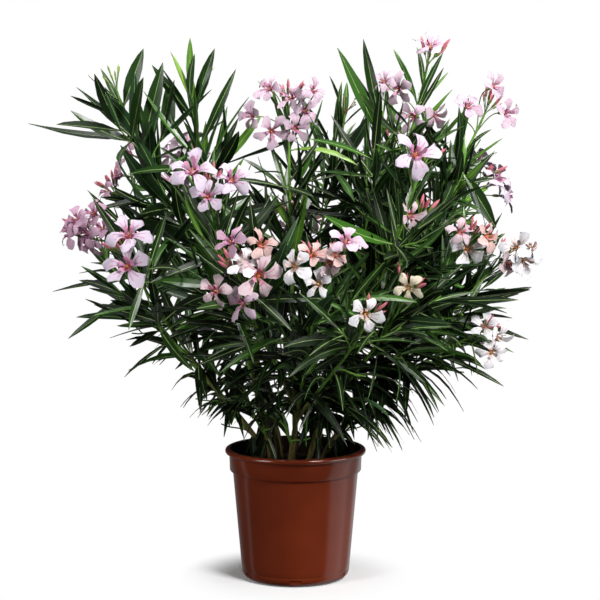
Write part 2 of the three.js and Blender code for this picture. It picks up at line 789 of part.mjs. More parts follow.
for (const { name, own, head, twigs, blossom, ...shoot } of shoots) {
  const rooms = [];

  // A leaf of a twig, as long as it has room for, or nothing. Its root may stand in its own twig.
  const fitted = (one, twig) => {
    for (const shorter of [1, 0.8, 0.62]) {
      const trial = { ...one, length: one.length * shorter };
      const whole = solid(leafRoom(trial, 0));
      const blade = solid(leafRoom(trial, 0.12));
      if (occupied.blocks(whole, name) || head.blocks(whole)) continue;
      if (own.blocks(whole, twig) || own.blocks(blade)) continue;
      own.add(blade, twig);
      rooms.push(whole);
      return trial;
    }
    return undefined;
  };

  const single = outlyingLeaves({ name, ...shoot }).map((one) => fitted(one, twigs[0]));
  const parts = single.filter(Boolean).map((one) => solid(leafSkin(one)));
  for (const twig of twigs) {
    for (const whorl of twig.whorls) whorl.leaves = whorl.leaves.map((one) => fitted(one, twig));
    parts.push(solid(twigSkin(twig)));
  }
  const grown = wasm.Manifold.union([...parts, ...blossom]);
  const mass = largest(grown.subtract(wasm.Manifold.union(occupied.met(grown, name))));
  for (const taken of [...rooms, mass]) occupied.add(taken, name);
  group.add(meshOf(mass, "foliage_" + name, materials.foliage));
}

export default group;
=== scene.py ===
# A potted oleander: fine stems, leaves and blossom that grow by the same rule as the CAD model's masses.
import math
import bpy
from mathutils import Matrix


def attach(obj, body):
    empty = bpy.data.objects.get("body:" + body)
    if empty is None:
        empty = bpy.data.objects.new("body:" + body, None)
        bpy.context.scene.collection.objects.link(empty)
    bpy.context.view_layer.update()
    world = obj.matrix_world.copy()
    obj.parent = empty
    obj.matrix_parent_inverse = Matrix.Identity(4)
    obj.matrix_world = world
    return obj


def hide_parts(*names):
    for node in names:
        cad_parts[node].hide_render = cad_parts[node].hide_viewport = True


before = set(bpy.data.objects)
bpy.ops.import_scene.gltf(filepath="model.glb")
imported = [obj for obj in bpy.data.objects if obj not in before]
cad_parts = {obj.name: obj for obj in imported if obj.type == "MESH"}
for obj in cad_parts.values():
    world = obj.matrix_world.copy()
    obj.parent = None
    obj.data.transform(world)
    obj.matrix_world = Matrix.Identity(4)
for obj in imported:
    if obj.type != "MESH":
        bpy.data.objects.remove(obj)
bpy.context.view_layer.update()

from types import SimpleNamespace

import bmesh
import bpy
import numpy as np
from mathutils import Vector, noise

# Lengths in the tables are millimetres, as in the CAD model. Meshes and everything in Blender are metres.
metre = 0.001
up = np.array([0.0, 0.0, 1.0])
fullTurn = 2 * math.pi


def vec(*parts):
    return np.array(parts, float)


def unit(v):
    return v / np.linalg.norm(v)


def lerp(a, b, t):
    return a + (b - a) * t


def clamp(value, low=0, high=1):
    return min(max(value, low), high)


def dice(seed):
    # The same seed always grows the same plant.
    state = seed

    def throw():
        nonlocal state
        state = state * 48271 % 2147483647
        return state / 2147483647

    return throw


def turnRound(v, axis, angle):
    c, s = math.cos(angle), math.sin(angle)
    return v * c + np.cross(axis, v) * s + axis * np.dot(axis, v) * (1 - c)


def sideways(along, angle):
    start = up if abs(along[2]) < 0.9 else vec(1, 0, 0)
    return turnRound(unit(np.cross(along, start)), along, angle)


def leaning(along, away, angle):
    return along * math.cos(angle) + away * math.sin(angle)


def bearingOf(bearing, rise):
    b, r = math.radians(bearing), math.radians(rise)
    return vec(math.cos(r) * math.cos(b), math.cos(r) * math.sin(b), math.sin(r))


class Route:
    # A limb's cubic route, which sets out along a heading and turns up at its tip.
    arrivalLead = 0.35
    measured = 40

    def __init__(self, start, heading, lead, tip, turn):
        span = tip - start
        reach = np.linalg.norm(span)
        arrival = unit(span / reach + up * turn)
        self.knots = [start, start + heading * reach * lead, tip - arrival * self.arrivalLead * reach, tip]
        points = [self.point(i / self.measured) for i in range(self.measured + 1)]
        self.length = sum(np.linalg.norm(b - a) for a, b in zip(points, points[1:]))

    def point(self, t):
        a, b, c, d = self.knots
        s = 1 - t
        return a * s**3 + b * 3 * s * s * t + c * 3 * s * t * t + d * t**3

    def tangent(self, t):
        a, b, c, d = self.knots
        s = 1 - t
        return unit((b - a) * s * s + (c - b) * 2 * s * t + (d - c) * t * t)


def framesOf(path, shares):
    side = sideways(path.tangent(shares[0]), 0)
    frames = []
    for share in shares:
        along = path.tangent(share)
        side = unit(side - along * np.dot(side, along))
        across = np.cross(along, side)
        frames.append(SimpleNamespace(centre=path.point(share), along=along, side=side, across=across))
    return frames


soilTop = 196
wood = {
    "footRadius": 5.6,
    "tipRadius": 1.9,
    "taper": 0.8,
    "flare": 1.5,  # at the foot, over the lowest share of the stem
    "flareShare": 0.05,
    "footGap": 0.3,
    "leaderLead": 0.12,
    "fork": 0.45,  # share of a leader that is bare stem
    "boughShare": 0.38,  # share of a branch that is bare bough
    "boughRadius": 0.75,
    "boughLead": 0.25,
    "boughSwing": 0.6,
}
twigs = {
    "forks": 2,
    "skirtForks": 1,
    "fine": 3,  # finer twigs between those of the CAD model
    "forkSpacing": 54,
    "firstFork": 0.2,
    "nextFork": 0.26,
    "firstFine": 0.12,
    "nextFine": 0.24,
    "length": 95,
    "fineLength": 60,
    "angle": 40,
    "fineAngle": 52,
    "turn": 155,  # round the shoot from one twig to the next
    "radius": 0.5,  # of the shoot's where the twig leaves it
    "tipRadius": 0.6,  # of the shoot's own tip
    "lead": 0.3,
    "swing": 0.4,
    "turnUp": 0.25,
}
leaf = {
    "length": 145,
    "spacing": 25,
    "perWhorl": 3,
    "scatter": 32,
    "tipAngle": 24,
    "rootAngle": 58,
    "droopAngle": 22,
    "bow": 0.3,
    "mostDroop": 0.5,
    "leastDroop": 0.03,
    "droopBelow": 260,
    "droopDepth": 620,
    # Share of the length and swing (degrees) of each try to find room.
    "tries": ((1, 0), (1, 24), (0.85, -24), (0.7, 0)),
}

# Each stem's foot and its shoots: tip, share of the leader where it leaves (`at`), how far its tip turns up,
# and the way that its florets face. The first shoot runs on from the stem itself.
stems = {
    "front": {
        "foot": (-8, -54),
        "shoots": {
            "centre": {"tip": (34, -262, 548), "turn": 0.5, "facing": (0.1, -1, 0.3)},
            "centre_left": {"at": 0.36, "tip": (-88, -258, 540), "turn": 0.3, "facing": (-0.2, -1, 0.2)},
            "low_white": {"at": 0.33, "tip": (112, -262, 470), "turn": 0.3, "facing": (0.1, -1, 0.1)},
        },
    },
    "front_right": {
        "foot": (22, -46),
        "shoots": {
            "big_bloom": {"tip": (196, -190, 700), "turn": 0.4, "facing": (0, -1, 0.2)},
            "blush": {"at": 0.33, "tip": (196, -130, 612), "turn": 0.4, "facing": (0.1, -1, 0.5)},
            "cream": {"at": 0.27, "tip": (172, -232, 505), "turn": 0.4, "facing": (0, -1, 0.1)},
        },
    },
    "right": {
        "foot": (46, -18),
        "shoots": {
            "far_cluster": {"tip": (340, -36, 540), "turn": -0.1, "facing": (0.3, -1, 0.2)},
            "low_cluster": {"at": 0.38, "tip": (300, -70, 425), "turn": -0.1, "facing": (0.4, -1, 0)},
            "salmon_white": {"at": 0.33, "tip": (282, -110, 580), "turn": 0.3, "facing": (0.3, -1, 0.3)},
        },
    },
    "right_high": {
        "foot": (34, 14),
        "shoots": {
            "top_right": {"tip": (222, 14, 872), "turn": 0.4, "facing": (-0.1, -1, 0.1)},
            "spears": {"at": 0.35, "tip": (146, -20, 792), "turn": 0.5},
            "far_top": {"at": 0.37, "tip": (318, 0, 790), "turn": 0.3, "facing": (0.4, -0.9, 0.3)},
            "arching": {"at": 0.3, "tip": (276, -70, 690), "turn": 0.1},
        },
    },
    "centre": {
        "foot": (0, 6),
        "shoots": {
            "crown": {"tip": (-12, -6, 800), "turn": 0.4, "facing": (0, -1, 0.3)},
            "seedheads": {"at": 0.4, "tip": (86, 96, 790), "turn": 0.4},
        },
    },
    "left_high": {
        "foot": (-30, 14),
        "shoots": {
            "young_tips": {"tip": (-180, 30, 830), "turn": 0.5},
            "top_left": {"at": 0.36, "tip": (-298, -24, 830), "turn": 0.4},
        },
    },
    "front_left": {
        "foot": (-40, -38),
        "shoots": {"lilac": {"tip": (-134, -236, 664), "turn": 0.3, "facing": (-0.1, -1, 0.3)}},
    },
    "left": {
        "foot": (-48, -14),
        "shoots": {
            "far_left": {"tip": (-336, -64, 590), "turn": 0.3, "facing": (-0.7, -0.8, 0.2)},
            "left_blooms": {"at": 0.4, "tip": (-262, -196, 560), "turn": 0.3, "facing": (0, -1, 0.1)},
        },
    },
    "back_left": {
        "foot": (-24, 44),
        "shoots": {
            "rear_left": {"tip": (-196, 262, 700), "turn": 0.4, "facing": (-0.4, 0.9, 0.4)},
            "side_left": {"at": 0.38, "tip": (-316, 120, 650), "turn": 0.3, "facing": (-0.9, -0.2, 0.4)},
        },
    },
    "back_right": {
        "foot": (30, 44),
        "shoots": {
            "rear_right": {"tip": (176, 270, 720), "turn": 0.4, "facing": (0.4, 0.9, 0.4)},
            "side_right": {"at": 0.4, "tip": (326, 140, 672), "turn": 0.3, "facing": (0.9, 0.1, 0.4)},
            "rear": {"at": 0.32, "tip": (6, 318, 600), "turn": 0.4, "facing": (0, 1, 0.3)},
        },
    },
}
skirts = {
    "front": -108,
    "front_right": -72,
    "right": -28,
    "back_right": 50,
    "back_left": 128,
    "left": 172,
    "front_left": 236,
}
skirt = {
    "at": 0.2,
    "reach": 74,
    "lift": 100,
    "lead": 0.3,
    "rise": 0.6,
    "turn": 0.1,
    "radius": 0.55,
    "tipRadius": 0.9,
    "leafLength": 122,
    "droop": 0.24,
}

# How far the leaves reach at each height, to the left and to the right: narrow at the pot, open at the top.
outline = (
    (200, 100, 150),
    (225, 112, 188),
    (240, 128, 218),
    (262, 168, 255),
    (306, 215, 302),
    (356, 272, 350),
    (407, 320, 395),
    (450, 395, 400),
    (500, 420, 412),
    (540, 400, 382),
    (600, 368, 372),
    (720, 380, 372),
    (777, 445, 352),
    (851, 375, 300),
    (900, 260, 255),
)

# Leaves that set the outline: share of the shoot, bearing, rise, length, sag, perhaps a green and a breadth.
outliers = {
    "top_left": [
        (0.75, 181, -2, 178, -0.16),
        (0.72, 180, 42, 137, 0),
        (0.68, 12, 76, 150, 0),
        (0.9, 20, 70, 104, 0),
        (0.45, 178, 2, 118, 0),
    ],
    "young_tips": [
        (0.62, 20, 62, 120, 0.02),
        (0.75, 4, 65, 145, 0),
        (0.97, 90, 84, 98, 0, 4),
        (0.9, -10, 70, 112, 0, 2),
        (0.86, 170, 76, 118, 0, 2),
    ],
    "spears": [(0.95, 175, 57, 125, 0), (0.85, 250, 80, 165, 0), (0.9, 0, 78, 150, 0)],
    "top_right": [(0.78, 8, 60, 98, 0)],
    "far_top": [(0.55, 2, 11, 90, 0), (0.64, -30, 34, 104, 0), (0.5, 30, 84, 92, 0)],
    "arching": [(0.93, -40, 50, 95, 1.7, 2), (1, -20, -56, 100, 0.05, 2, 2.1), (0.75, -8, 24, 112, 0.9)],
    "big_bloom": [
        (0.42, -50, 70, 84, 0, 5),
        (0.36, -130, 62, 80, 0, 5),
        (0.48, -10, 56, 78, 0.05, 4),
        (0.3, -80, 52, 74, 0.1, 4),
    ],
    "crown": [
        (0.8, -14, 24, 160, 0.36, 5),
        (0.3, -60, 70, 150, 0, 4),
        (0.12, -86, 66, 92, 0.05, 5),
        (0.02, -110, 74, 104, 0, 4),
        (0.46, -96, 60, 96, 0.1, 4),
    ],
    "far_left": [(0.72, 182, -12, 114, 0), (0.62, 184, -34, 128, 0.04), (0.3, 200, -42, 108, 0.2)],
    "skirt_front": [(0, -104, -68, 60, 0, 1), (0.02, -66, -72, 56, 0, 1)],
    "skirt_front_right": [(0, -80, -70, 60, 0, 0), (0.2, -30, 14, 96, 0.6, 1), (0.5, -14, 14, 104, 0.8, 1)],
    "skirt_right": [(0.2, -40, -30, 70, 0.3, 0), (0.5, -12, 20, 112, 0.9, 1), (0.7, -30, 10, 108, 1, 1)],
    "skirt_front_left": [(0, -100, -66, 60, 0, 1), (0.3, 200, -4, 90, 0.7, 1), (0.6, 216, 16, 100, 0.8, 0)],
    "skirt_left": [(0.2, 200, -10, 84, 0.5, 0), (0.5, 186, 24, 110, 0.8, 1), (0.75, 176, 14, 104, 0.8, 0)],
    "far_cluster": [(0.6, -4, 14, 112, -0.05)],
    "low_cluster": [(0.5, -6, -16, 118, 0.16)],
}

# How much broader than usual a shoot's leaves are.
broad = {
    "top_left": 1.5,
    "young_tips": 1.1,
    "arching": 1.3,
    "far_left": 1.2,
    "left_blooms": 1.2,
    "centre": 1.1,
    "skirt_front": 1.7,
    "skirt_front_right": 1.6,
    "skirt_right": 1.4,
    "skirt_front_left": 1.6,
    "skirt_left": 1.4,
}

# How much further apart than usual a shoot's whorls stand.
sparse = {"side_left": 2.8, "far_left": 2, "left_blooms": 1.7, "rear_left": 1.3, "low_cluster": 1.3}

# Each head: its florets' tints in turn, their depth, and their hearts as X, Z and size.
# A rear head gives a count instead, and grows by rule.
heads = {
    "crown": (
        ["pink"],
        -26,
        [
            (-45, 831, 0.9),
            (-76, 783, 0.9),
            (-9, 816, 0.9),
            (18, 794, 0.95),
            (1, 764, 0.9),
            (-39, 758, 1.1),
            (32, 828, 0.85),
        ],
    ),
    "top_right": (
        ["pink"],
        -8,
        [(145, 844, 0.9), (170, 828, 1), (194, 783, 1), (237, 783, 1), (225, 903, 1)],
    ),
    "far_top": (["pink"], -24, [(287, 802, 0.9), (332, 835, 0.9), (354, 789, 1)]),
    "lilac": (["lilac"], -262, [(-157, 704, 1.4), (-134, 662, 1), (-97, 689, 1.15)]),
    "big_bloom": (["lilac"], -216, [(189, 728, 1.5)]),
    "blush": (["blush"], -160, [(185, 627, 0.9)]),
    "left_blooms": (["lilac"], -222, [(-259, 603, 1.3), (-264, 551, 1.45)]),
    "far_left": (
        ["rose"],
        -86,
        [(-361, 618, 1), (-333, 626, 1), (-345, 592, 1), (-338, 572, 0.9), (-374, 594, 1), (-318, 604, 0.9)],
    ),
    "centre_left": (
        ["rose", "salmon", "white", "blush", "blush", "pink"],
        -286,
        [(-99, 595, 0.95), (-50, 590, 0.9), (-77, 561, 0.95), (-54, 541, 1.4), (-123, 518, 1), (-84, 498, 1)],
    ),
    "centre": (
        ["white", "salmon", "blush", "pink", "white", "salmon"],
        -290,
        [(-3, 557, 1.05), (26, 576, 1), (54, 560, 0.9), (78, 598, 1.1), (35, 529, 0.9), (64, 574, 0.8)],
    ),
    "salmon_white": (
        ["blush", "white", "salmon"],
        -130,
        [(267, 600, 0.9), (280, 571, 1.15), (312, 592, 0.95)],
    ),
    "far_cluster": (
        ["white", "white", "blush"],
        -66,
        [(362, 571, 1.05), (382, 546, 1.1), (356, 540, 1.05), (388, 572, 0.95)],
    ),
    "low_cluster": (["white"], -92, [(309, 444, 0.9), (336, 419, 1.1), (322, 398, 0.9)]),
    "side_left": (["rose"], 100, [(-331, 657, 0.85), (-309, 684, 0.9), (-292, 722, 0.9)]),
    "cream": (["cream"], -256, [(174, 520, 0.9)]),
    "low_white": (["white"], -282, [(108, 482, 1.05)]),
    "rear_left": (["pink"], None, 6),
    "rear_right": (["blush", "pink"], None, 6),
    "side_right": (["lilac"], None, 4),
    "rear": (["salmon", "blush", "white"], None, 6),
}


def stemRadius(share):
    bare = lerp(wood["footRadius"], wood["tipRadius"], share ** wood["taper"])
    near = clamp(1 - share / wood["flareShare"])
    return bare * (1 + (wood["flare"] - 1) * near * near)


def limb(stem, path, end, radiusAt, isStem):
    return SimpleNamespace(stem=stem, path=path, start=0, end=end, radiusAt=radiusAt, isStem=isStem)


def layOut():
    limbs, shoots = [], []

    def addShoot(stem, name, path, start, radiusAt, given):
        droop = leaf["mostDroop"] - (path.point(1)[2] - leaf["droopBelow"]) / leaf["droopDepth"]
        shoots.append(
            SimpleNamespace(
                stem=stem,
                name=name,
                path=path,
                start=start,
                radiusAt=radiusAt,
                headed=name in heads,
                droop=given.get("droop", clamp(droop, leaf["leastDroop"], leaf["mostDroop"])),
                leafLength=given.get("leafLength", leaf["length"]),
                facing=unit(vec(*given.get("facing", (0, -0.5, 1)))),
                seed=1009 + 37 * len(shoots),
            )
        )

    for stemName, stem in stems.items():
        own = list(stem["shoots"].items())
        leaderName, leader = own[0]
        foot = vec(*stem["foot"], soilTop + wood["footGap"])
        path = Route(foot, up, wood["leaderLead"], vec(*leader["tip"]), leader["turn"])
        limbs.append(limb(stemName, path, wood["fork"], stemRadius, True))
        addShoot(stemName, leaderName, path, wood["fork"], stemRadius, leader)
        for name, given in own[1:]:
            start, tip = path.point(given["at"]), vec(*given["tip"])
            heading = unit(lerp(path.tangent(given["at"]), unit(tip - start), wood["boughSwing"]))
            branch = Route(start, heading, wood["boughLead"], tip, given["turn"])
            base = stemRadius(given["at"]) * wood["boughRadius"]
            radiusAt = lambda share, base=base: lerp(base, wood["tipRadius"], share)
            limbs.append(limb(stemName, branch, wood["boughShare"], radiusAt, False))
            addShoot(stemName, name, branch, wood["boughShare"], radiusAt, given)
        if stemName in skirts:
            start, out = path.point(skirt["at"]), bearingOf(skirts[stemName], 0)
            tip = start + out * skirt["reach"] + up * skirt["lift"]
            branch = Route(start, unit(out + up * skirt["rise"]), skirt["lead"], tip, skirt["turn"])
            base = stemRadius(skirt["at"]) * skirt["radius"]
            radiusAt = lambda share, base=base: lerp(base, wood["tipRadius"] * skirt["tipRadius"], share)
            addShoot(stemName, "skirt_" + stemName, branch, 0, radiusAt, skirt)
    return limbs, shoots


def growTwigs(shoot):
    # The shoot's own stem, the CAD model's side twigs, and finer ones between them.
    throw = dice(shoot.seed)
    path, start = shoot.path, shoot.start
    skirted = shoot.name.startswith("skirt_")
    grown = [SimpleNamespace(path=path, start=start, radiusAt=shoot.radiusAt, main=True)]
    whorls = max(2, round(np.linalg.norm(path.point(1) - path.point(start)) / twigs["forkSpacing"]))
    phase = throw() * fullTurn
    forks = twigs["skirtForks"] if skirted else twigs["forks"]
    for i in range(forks + twigs["fine"]):
        fine = i >= forks
        whorl = math.floor(whorls * (twigs["firstFork"] + twigs["nextFork"] * i) + 0.5)
        forked = (whorl + 0.9) / whorls
        step = twigs["firstFine"] + twigs["nextFine"] * (i - forks) if fine else forked
        share = lerp(start, 1, step)
        centre, along = path.point(share), path.tangent(share)
        away = sideways(along, phase + i * math.radians(twigs["turn"]))
        length = twigs["fineLength" if skirted or fine else "length"] * (0.85 + 0.3 * throw())
        lean = math.radians(twigs["fineAngle" if fine else "angle"])
        tip = centre + leaning(along, away, lean) * length
        heading = unit(lerp(along, away, twigs["swing"]))
        base = shoot.radiusAt(share) * twigs["radius"]
        grown.append(
            SimpleNamespace(
                path=Route(centre, heading, twigs["lead"], tip, twigs["turnUp"]),
                start=0,
                radiusAt=lambda at, base=base: lerp(base, wood["tipRadius"] * twigs["tipRadius"], at),
                main=False,
            )
        )
    return grown


# Where no leaf may be: round the pot's rim, in the soil and before the pot's front.
potRoom = {
    "rimTop": 228,
    "rimInside": 98,
    "rimOutside": 127,
    "soilGap": 4,
    "soilRadius": 110,
    "frontTop": 246,
    "frontHalf": 130,
}


def inPotRoom(p):
    flat = math.hypot(p[0], p[1])
    inRim = p[2] < potRoom["rimTop"] and potRoom["rimInside"] < flat < potRoom["rimOutside"]
    inSoil = p[2] < soilTop + potRoom["soilGap"] and flat < potRoom["soilRadius"]
    beforePot = p[2] < potRoom["frontTop"] and p[1] < 0 and abs(p[0]) < potRoom["frontHalf"]
    return inRim or inSoil or beforePot and flat > potRoom["rimInside"]


class Room:
    # What is already taken: points of wood and leaves, found by cells, and lines that stay open to view.
    cell = 12

    def __init__(self):
        self.cells = {}
        self.lines = np.empty((0, 7))

    def near(self, p):
        i, j, k = (int(c // self.cell) for c in p)
        for a in (i - 1, i, i + 1):
            for b in (j - 1, j, j + 1):
                for c in (k - 1, k, k + 1):
                    yield from self.cells.get((a, b, c), ())

    def add(self, points, owner, reach):
        for p in points:
            key = tuple(int(c // self.cell) for c in p)
            self.cells.setdefault(key, []).append((p, owner, reach))

    def clear(self, start, span, radius):
        # Leaves keep this far off the stretch between start and start + span.
        self.lines = np.vstack([self.lines, [*start, *span, radius]])

    def onLine(self, p):
        starts, spans = self.lines[:, :3], self.lines[:, 3:6]
        off = p - starts
        along = np.clip(np.sum(off * spans, axis=1) / np.sum(spans * spans, axis=1), 0, 1)
        return np.any(np.linalg.norm(off - spans * along[:, None], axis=1) < self.lines[:, 6])

    def holds(self, points, owner, spread):
        if shareOut(points[-1]) > spread:
            return False
        for p in points:
            if inPotRoom(p) or self.onLine(p):
                return False
            for q, other, reach in self.near(p):
                if other != owner and np.sum((p - q) ** 2) < reach * reach:
                    return False
        return True


def shareOut(p):
    # How far out a point is: 0 on the axis, 1 on the outline.
    heights, left, right = zip(*outline)
    flat = math.hypot(p[0], p[1])
    toRight = 0.5 + 0.5 * p[0] / max(flat, 1)
    return flat / lerp(np.interp(p[2], heights, left), np.interp(p[2], heights, right), toRight)


room = Room()
sampleShares = (0.28, 0.4, 0.52, 0.64, 0.76, 0.88, 1.0)


def leafSamples(root, way, bend, length):
    return [root + (way + bend * s) * length * s for s in sampleShares]


def rgb(code):
    channels = [int(code[i : i + 2], 16) / 255 for i in (1, 3, 5)]
    return [c / 12.92 if c <= 0.04045 else ((c + 0.055) / 1.055) ** 2.4 for c in channels] + [1]


def addNode(tree, kind, settings=None, values=None, links=None):
    node = tree.nodes.new(kind)
    for name, value in (settings or {}).items():
        setattr(node, name, value)
    for name, value in (values or {}).items():
        node.inputs[name].default_value = value
    for name, socket in (links or {}).items():
        tree.links.new(socket, node.inputs[name])
    return node


def finish(name, colour, roughness, **more):
    # A plain Principled material. `more` sets further sockets by name, with spaces as underscores.
    material = bpy.data.materials.new(name)
    material.use_nodes = True
    tree = material.node_tree
    tree.nodes.clear()
    values = {key.replace("_", " "): value for key, value in more.items()}
    surface = addNode(
        tree,
        "ShaderNodeBsdfPrincipled",
        values={"Base Color": rgb(colour), "Roughness": roughness, **values},
    )
    addNode(tree, "ShaderNodeOutputMaterial", links={"Surface": surface.outputs["BSDF"]})
    return material, tree, surface


def blended(tree, factor, low, high):
    ramp = addNode(tree, "ShaderNodeValToRGB", links={"Fac": factor})
    ramp.color_ramp.elements[0].color = rgb(low)
    ramp.color_ramp.elements[1].color = rgb(high)
    ramp.color_ramp.elements[0].position = 0.3
    ramp.color_ramp.elements[1].position = 0.7
    return ramp.outputs["Color"]


def grain(tree, size, detail=4, stretch=(1, 1, 1)):
    # Noise whose largest spots are `size` millimetres across.
    spot = addNode(tree, "ShaderNodeTexCoord")
    spread = addNode(
        tree, "ShaderNodeMapping", values={"Scale": stretch}, links={"Vector": spot.outputs["Object"]}
    )
    return addNode(
        tree,
        "ShaderNodeTexNoise",
        values={"Scale": 1 / (size * metre), "Detail": detail},
        links={"Vector": spread.outputs["Vector"]},
    ).outputs["Fac"]


def bump(tree, surface, height, strength, depth):
    # Relief up to `depth` millimetres deep.
    values = {"Strength": strength, "Distance": depth * metre}
    node = addNode(tree, "ShaderNodeBump", values=values, links={"Height": height})
    tree.links.new(node.outputs["Normal"], surface.inputs["Normal"])


def ranged(tree, factor, low, high):
    return addNode(
        tree, "ShaderNodeMapRange", values={"To Min": low, "To Max": high}, links={"Value": factor}
    ).outputs["Result"]


def makePlastic():
    # Injection-moulded polypropylene with a satin gloss.
    material, tree, surface = finish("moulded_polypropylene", "#5c1f10", 0.24, Specular_IOR_Level=0.5)
    tree.links.new(blended(tree, grain(tree, 110, 2), "#5b2210", "#692914"), surface.inputs["Base Color"])
    tree.links.new(ranged(tree, grain(tree, 25), 0.13, 0.2), surface.inputs["Roughness"])
    bump(tree, surface, grain(tree, 1.4, 2), 0.06, 0.4)
    return material


def makeSoil(name, low, high):
    # Moist peat and bark potting mix.
    material, tree, surface = finish(name, low, 0.95, Specular_IOR_Level=0.2)
    tree.links.new(blended(tree, grain(tree, 3.8, 6), low, high), surface.inputs["Base Color"])
    bump(tree, surface, grain(tree, 2.4, 6), 0.7, 2)
    return material


# Heights between which the bark goes from grey-brown to green.
barkTurn = {"grey": 190, "green": 500}


def makeBark():
    # Young bark: grey-brown at the soil, green above, with fine lengthwise streaks.
    material, tree, surface = finish("young_bark", "#5d6136", 0.7, Specular_IOR_Level=0.35)
    spot = addNode(tree, "ShaderNodeTexCoord")
    height = addNode(tree, "ShaderNodeSeparateXYZ", links={"Vector": spot.outputs["Object"]})
    ripe = addNode(
        tree,
        "ShaderNodeMapRange",
        values={"From Min": barkTurn["grey"] * metre, "From Max": barkTurn["green"] * metre},
        links={"Value": height.outputs["Z"]},
    )
    streak = grain(tree, 3.3, 5, (1, 1, 0.12))
    old = blended(tree, streak, "#3f3318", "#71602f")
    green = blended(tree, streak, "#41592a", "#6b8440")
    mixed = addNode(tree, "ShaderNodeMix", {"data_type": "RGBA"}, links={"Factor": ripe.outputs["Result"]})
    tree.links.new(old, mixed.inputs["A"])
    tree.links.new(green, mixed.inputs["B"])
    tree.links.new(mixed.outputs["Result"], surface.inputs["Base Color"])
    bump(tree, surface, streak, 0.5, 0.8)
    return material


def makeTwigBark():
    # The smooth green bark of this year's growth, with faint lengthwise streaks.
    material, tree, surface = finish("green_bark", "#5f8f2f", 0.45, Specular_IOR_Level=0.4)
    streak = grain(tree, 4.5, 4, (1, 1, 0.15))
    tree.links.new(blended(tree, streak, "#45702a", "#77a53c"), surface.inputs["Base Color"])
    bump(tree, surface, streak, 0.3, 0.4)
    return material


# Leathery blades, from a darker green that is painted shade for leaves deep in the plant, through the oldest,
# to the youngest; their pale midribs and their grey-green undersides: each with its roughness and its gloss,
# so that the young leaves shine and those in painted shade stay dark.
greens = {
    "painted_shade": ("#060f03", 0.5, 0.14),
    "old": ("#0e1e07", 0.42, 0.28),
    "mature": ("#1b360d", 0.32, 0.5),
    "full": ("#305917", 0.3, 0.56),
    "fresh": ("#4f7c21", 0.32, 0.54),
    "young": ("#72972e", 0.36, 0.46),
    "midrib": ("#8fac66", 0.45, 0.34),
    "underside": ("#254024", 0.5, 0.24),
}
leafFinishes = [
    finish(f"leaf_{name}", colour, roughness, Specular_IOR_Level=gloss)[0]
    for name, (colour, roughness, gloss) in greens.items()
]
finishOf = list(greens).index
oldAndShadedFinish, fullFinish, ribFinish, underFinish = map(finishOf, ("old", "full", "midrib", "underside"))

# Thin matt petals by tint: the outer blade, the veined inner part, and the throat. Then what all heads share.
tints = {
    "pink": ("#bfa8b7", "#bb839e", "#c86054"),
    "rose": ("#b895aa", "#b06e91", "#c1563e"),
    "lilac": ("#bdafbf", "#b97f9e", "#c8623e"),
    "blush": ("#c1acb2", "#bc8090", "#c96241"),
    "salmon": ("#c1a39f", "#bf7b6f", "#d5682f"),
    "white": ("#d8d6da", "#c0a8a0", "#cd8a4f"),
    "cream": ("#dbd2bb", "#c0ae92", "#ca8743"),
}
petalParts = ("blade", "inner", "throat")
headParts = {
    "pollen_cone": ("#f0c878", 0.7),  # dry and mealy
    "calyx": ("#6f7a3a", 0.55),
    "bud_rose": ("#c9707c", 0.5),
    "bud_green": ("#88a04a", 0.5),
    "spent_stalk": ("#6b5a36", 0.8),  # dried up
    "flower_stalk": ("#5f7a35", 0.55),
}
blossomFinishes = [
    finish(f"petal_{tint}_{part}", colour, 0.6, Specular_IOR_Level=0.3)[0]
    for tint, colours in tints.items()
    for part, colour in zip(petalParts, colours)
] + [finish(name, *look)[0] for name, look in headParts.items()]
tintStart = {tint: len(petalParts) * i for i, tint in enumerate(tints)}
afterTints = len(petalParts) * len(tints)
pollen, calyx, budRose, budGreen, spent, stalkGreen = range(afterTints, afterTints + len(headParts))
print("materials made")


class Heap:
    # The points, faces and finishes of one piece, gathered from many shapes.
    def __init__(self):
        self.points, self.faces, self.finishes, self.count = [], [], [], 0

    def add(self, points, faces, finishes):
        points = np.asarray(points).reshape(-1, 3)
        self.points.append(points)
        self.faces += [[v + self.count for v in face] for face in faces]
        self.finishes += [finishes] * len(faces) if isinstance(finishes, int) else list(finishes)
        self.count += len(points)

    def addMany(self, points, faces, finishes):
        # points (copies, vertices, 3) share one list of faces; finishes (copies, faces).
        copies, each = points.shape[:2]
        for i in range(copies):
            start = self.count + i * each
            self.faces += [[v + start for v in face] for face in faces]
        self.points.append(points.reshape(-1, 3))
        self.finishes += np.asarray(finishes).reshape(-1).tolist()
        self.count += copies * each

    def mesh(self, name, materials, sharp):
        mesh = bpy.data.meshes.new(name)
        mesh.from_pydata((np.concatenate(self.points) * metre).tolist(), [], self.faces)
        for material in materials:
            mesh.materials.append(material)
        mesh.polygons.foreach_set("material_index", self.finishes)
        mesh.shade_smooth()
        mesh.set_sharp_from_angle(angle=math.radians(sharp))
        return mesh


def shown(name, data):
    thing = bpy.data.objects.new(name, data)
    bpy.context.scene.collection.objects.link(thing)
    return thing


def place(name, mesh, nodes=()):
    piece = shown(name, mesh)
    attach(piece, "root")
    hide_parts(*nodes)


def baked(name, mesh, kind, settings, inputs=None):
    # The plain mesh that a modifier of this kind makes of another one.
    base = shown(name, mesh)
    modifier = base.modifiers.new(name, kind)
    for key, value in settings.items():
        setattr(modifier, key, value)
    for identifier, value in (inputs or {}).items():
        modifier[identifier] = value
    bpy.context.view_layer.update()
    result = bpy.data.meshes.new_from_object(base.evaluated_get(bpy.context.evaluated_depsgraph_get()))
    bpy.data.objects.remove(base)
    return result


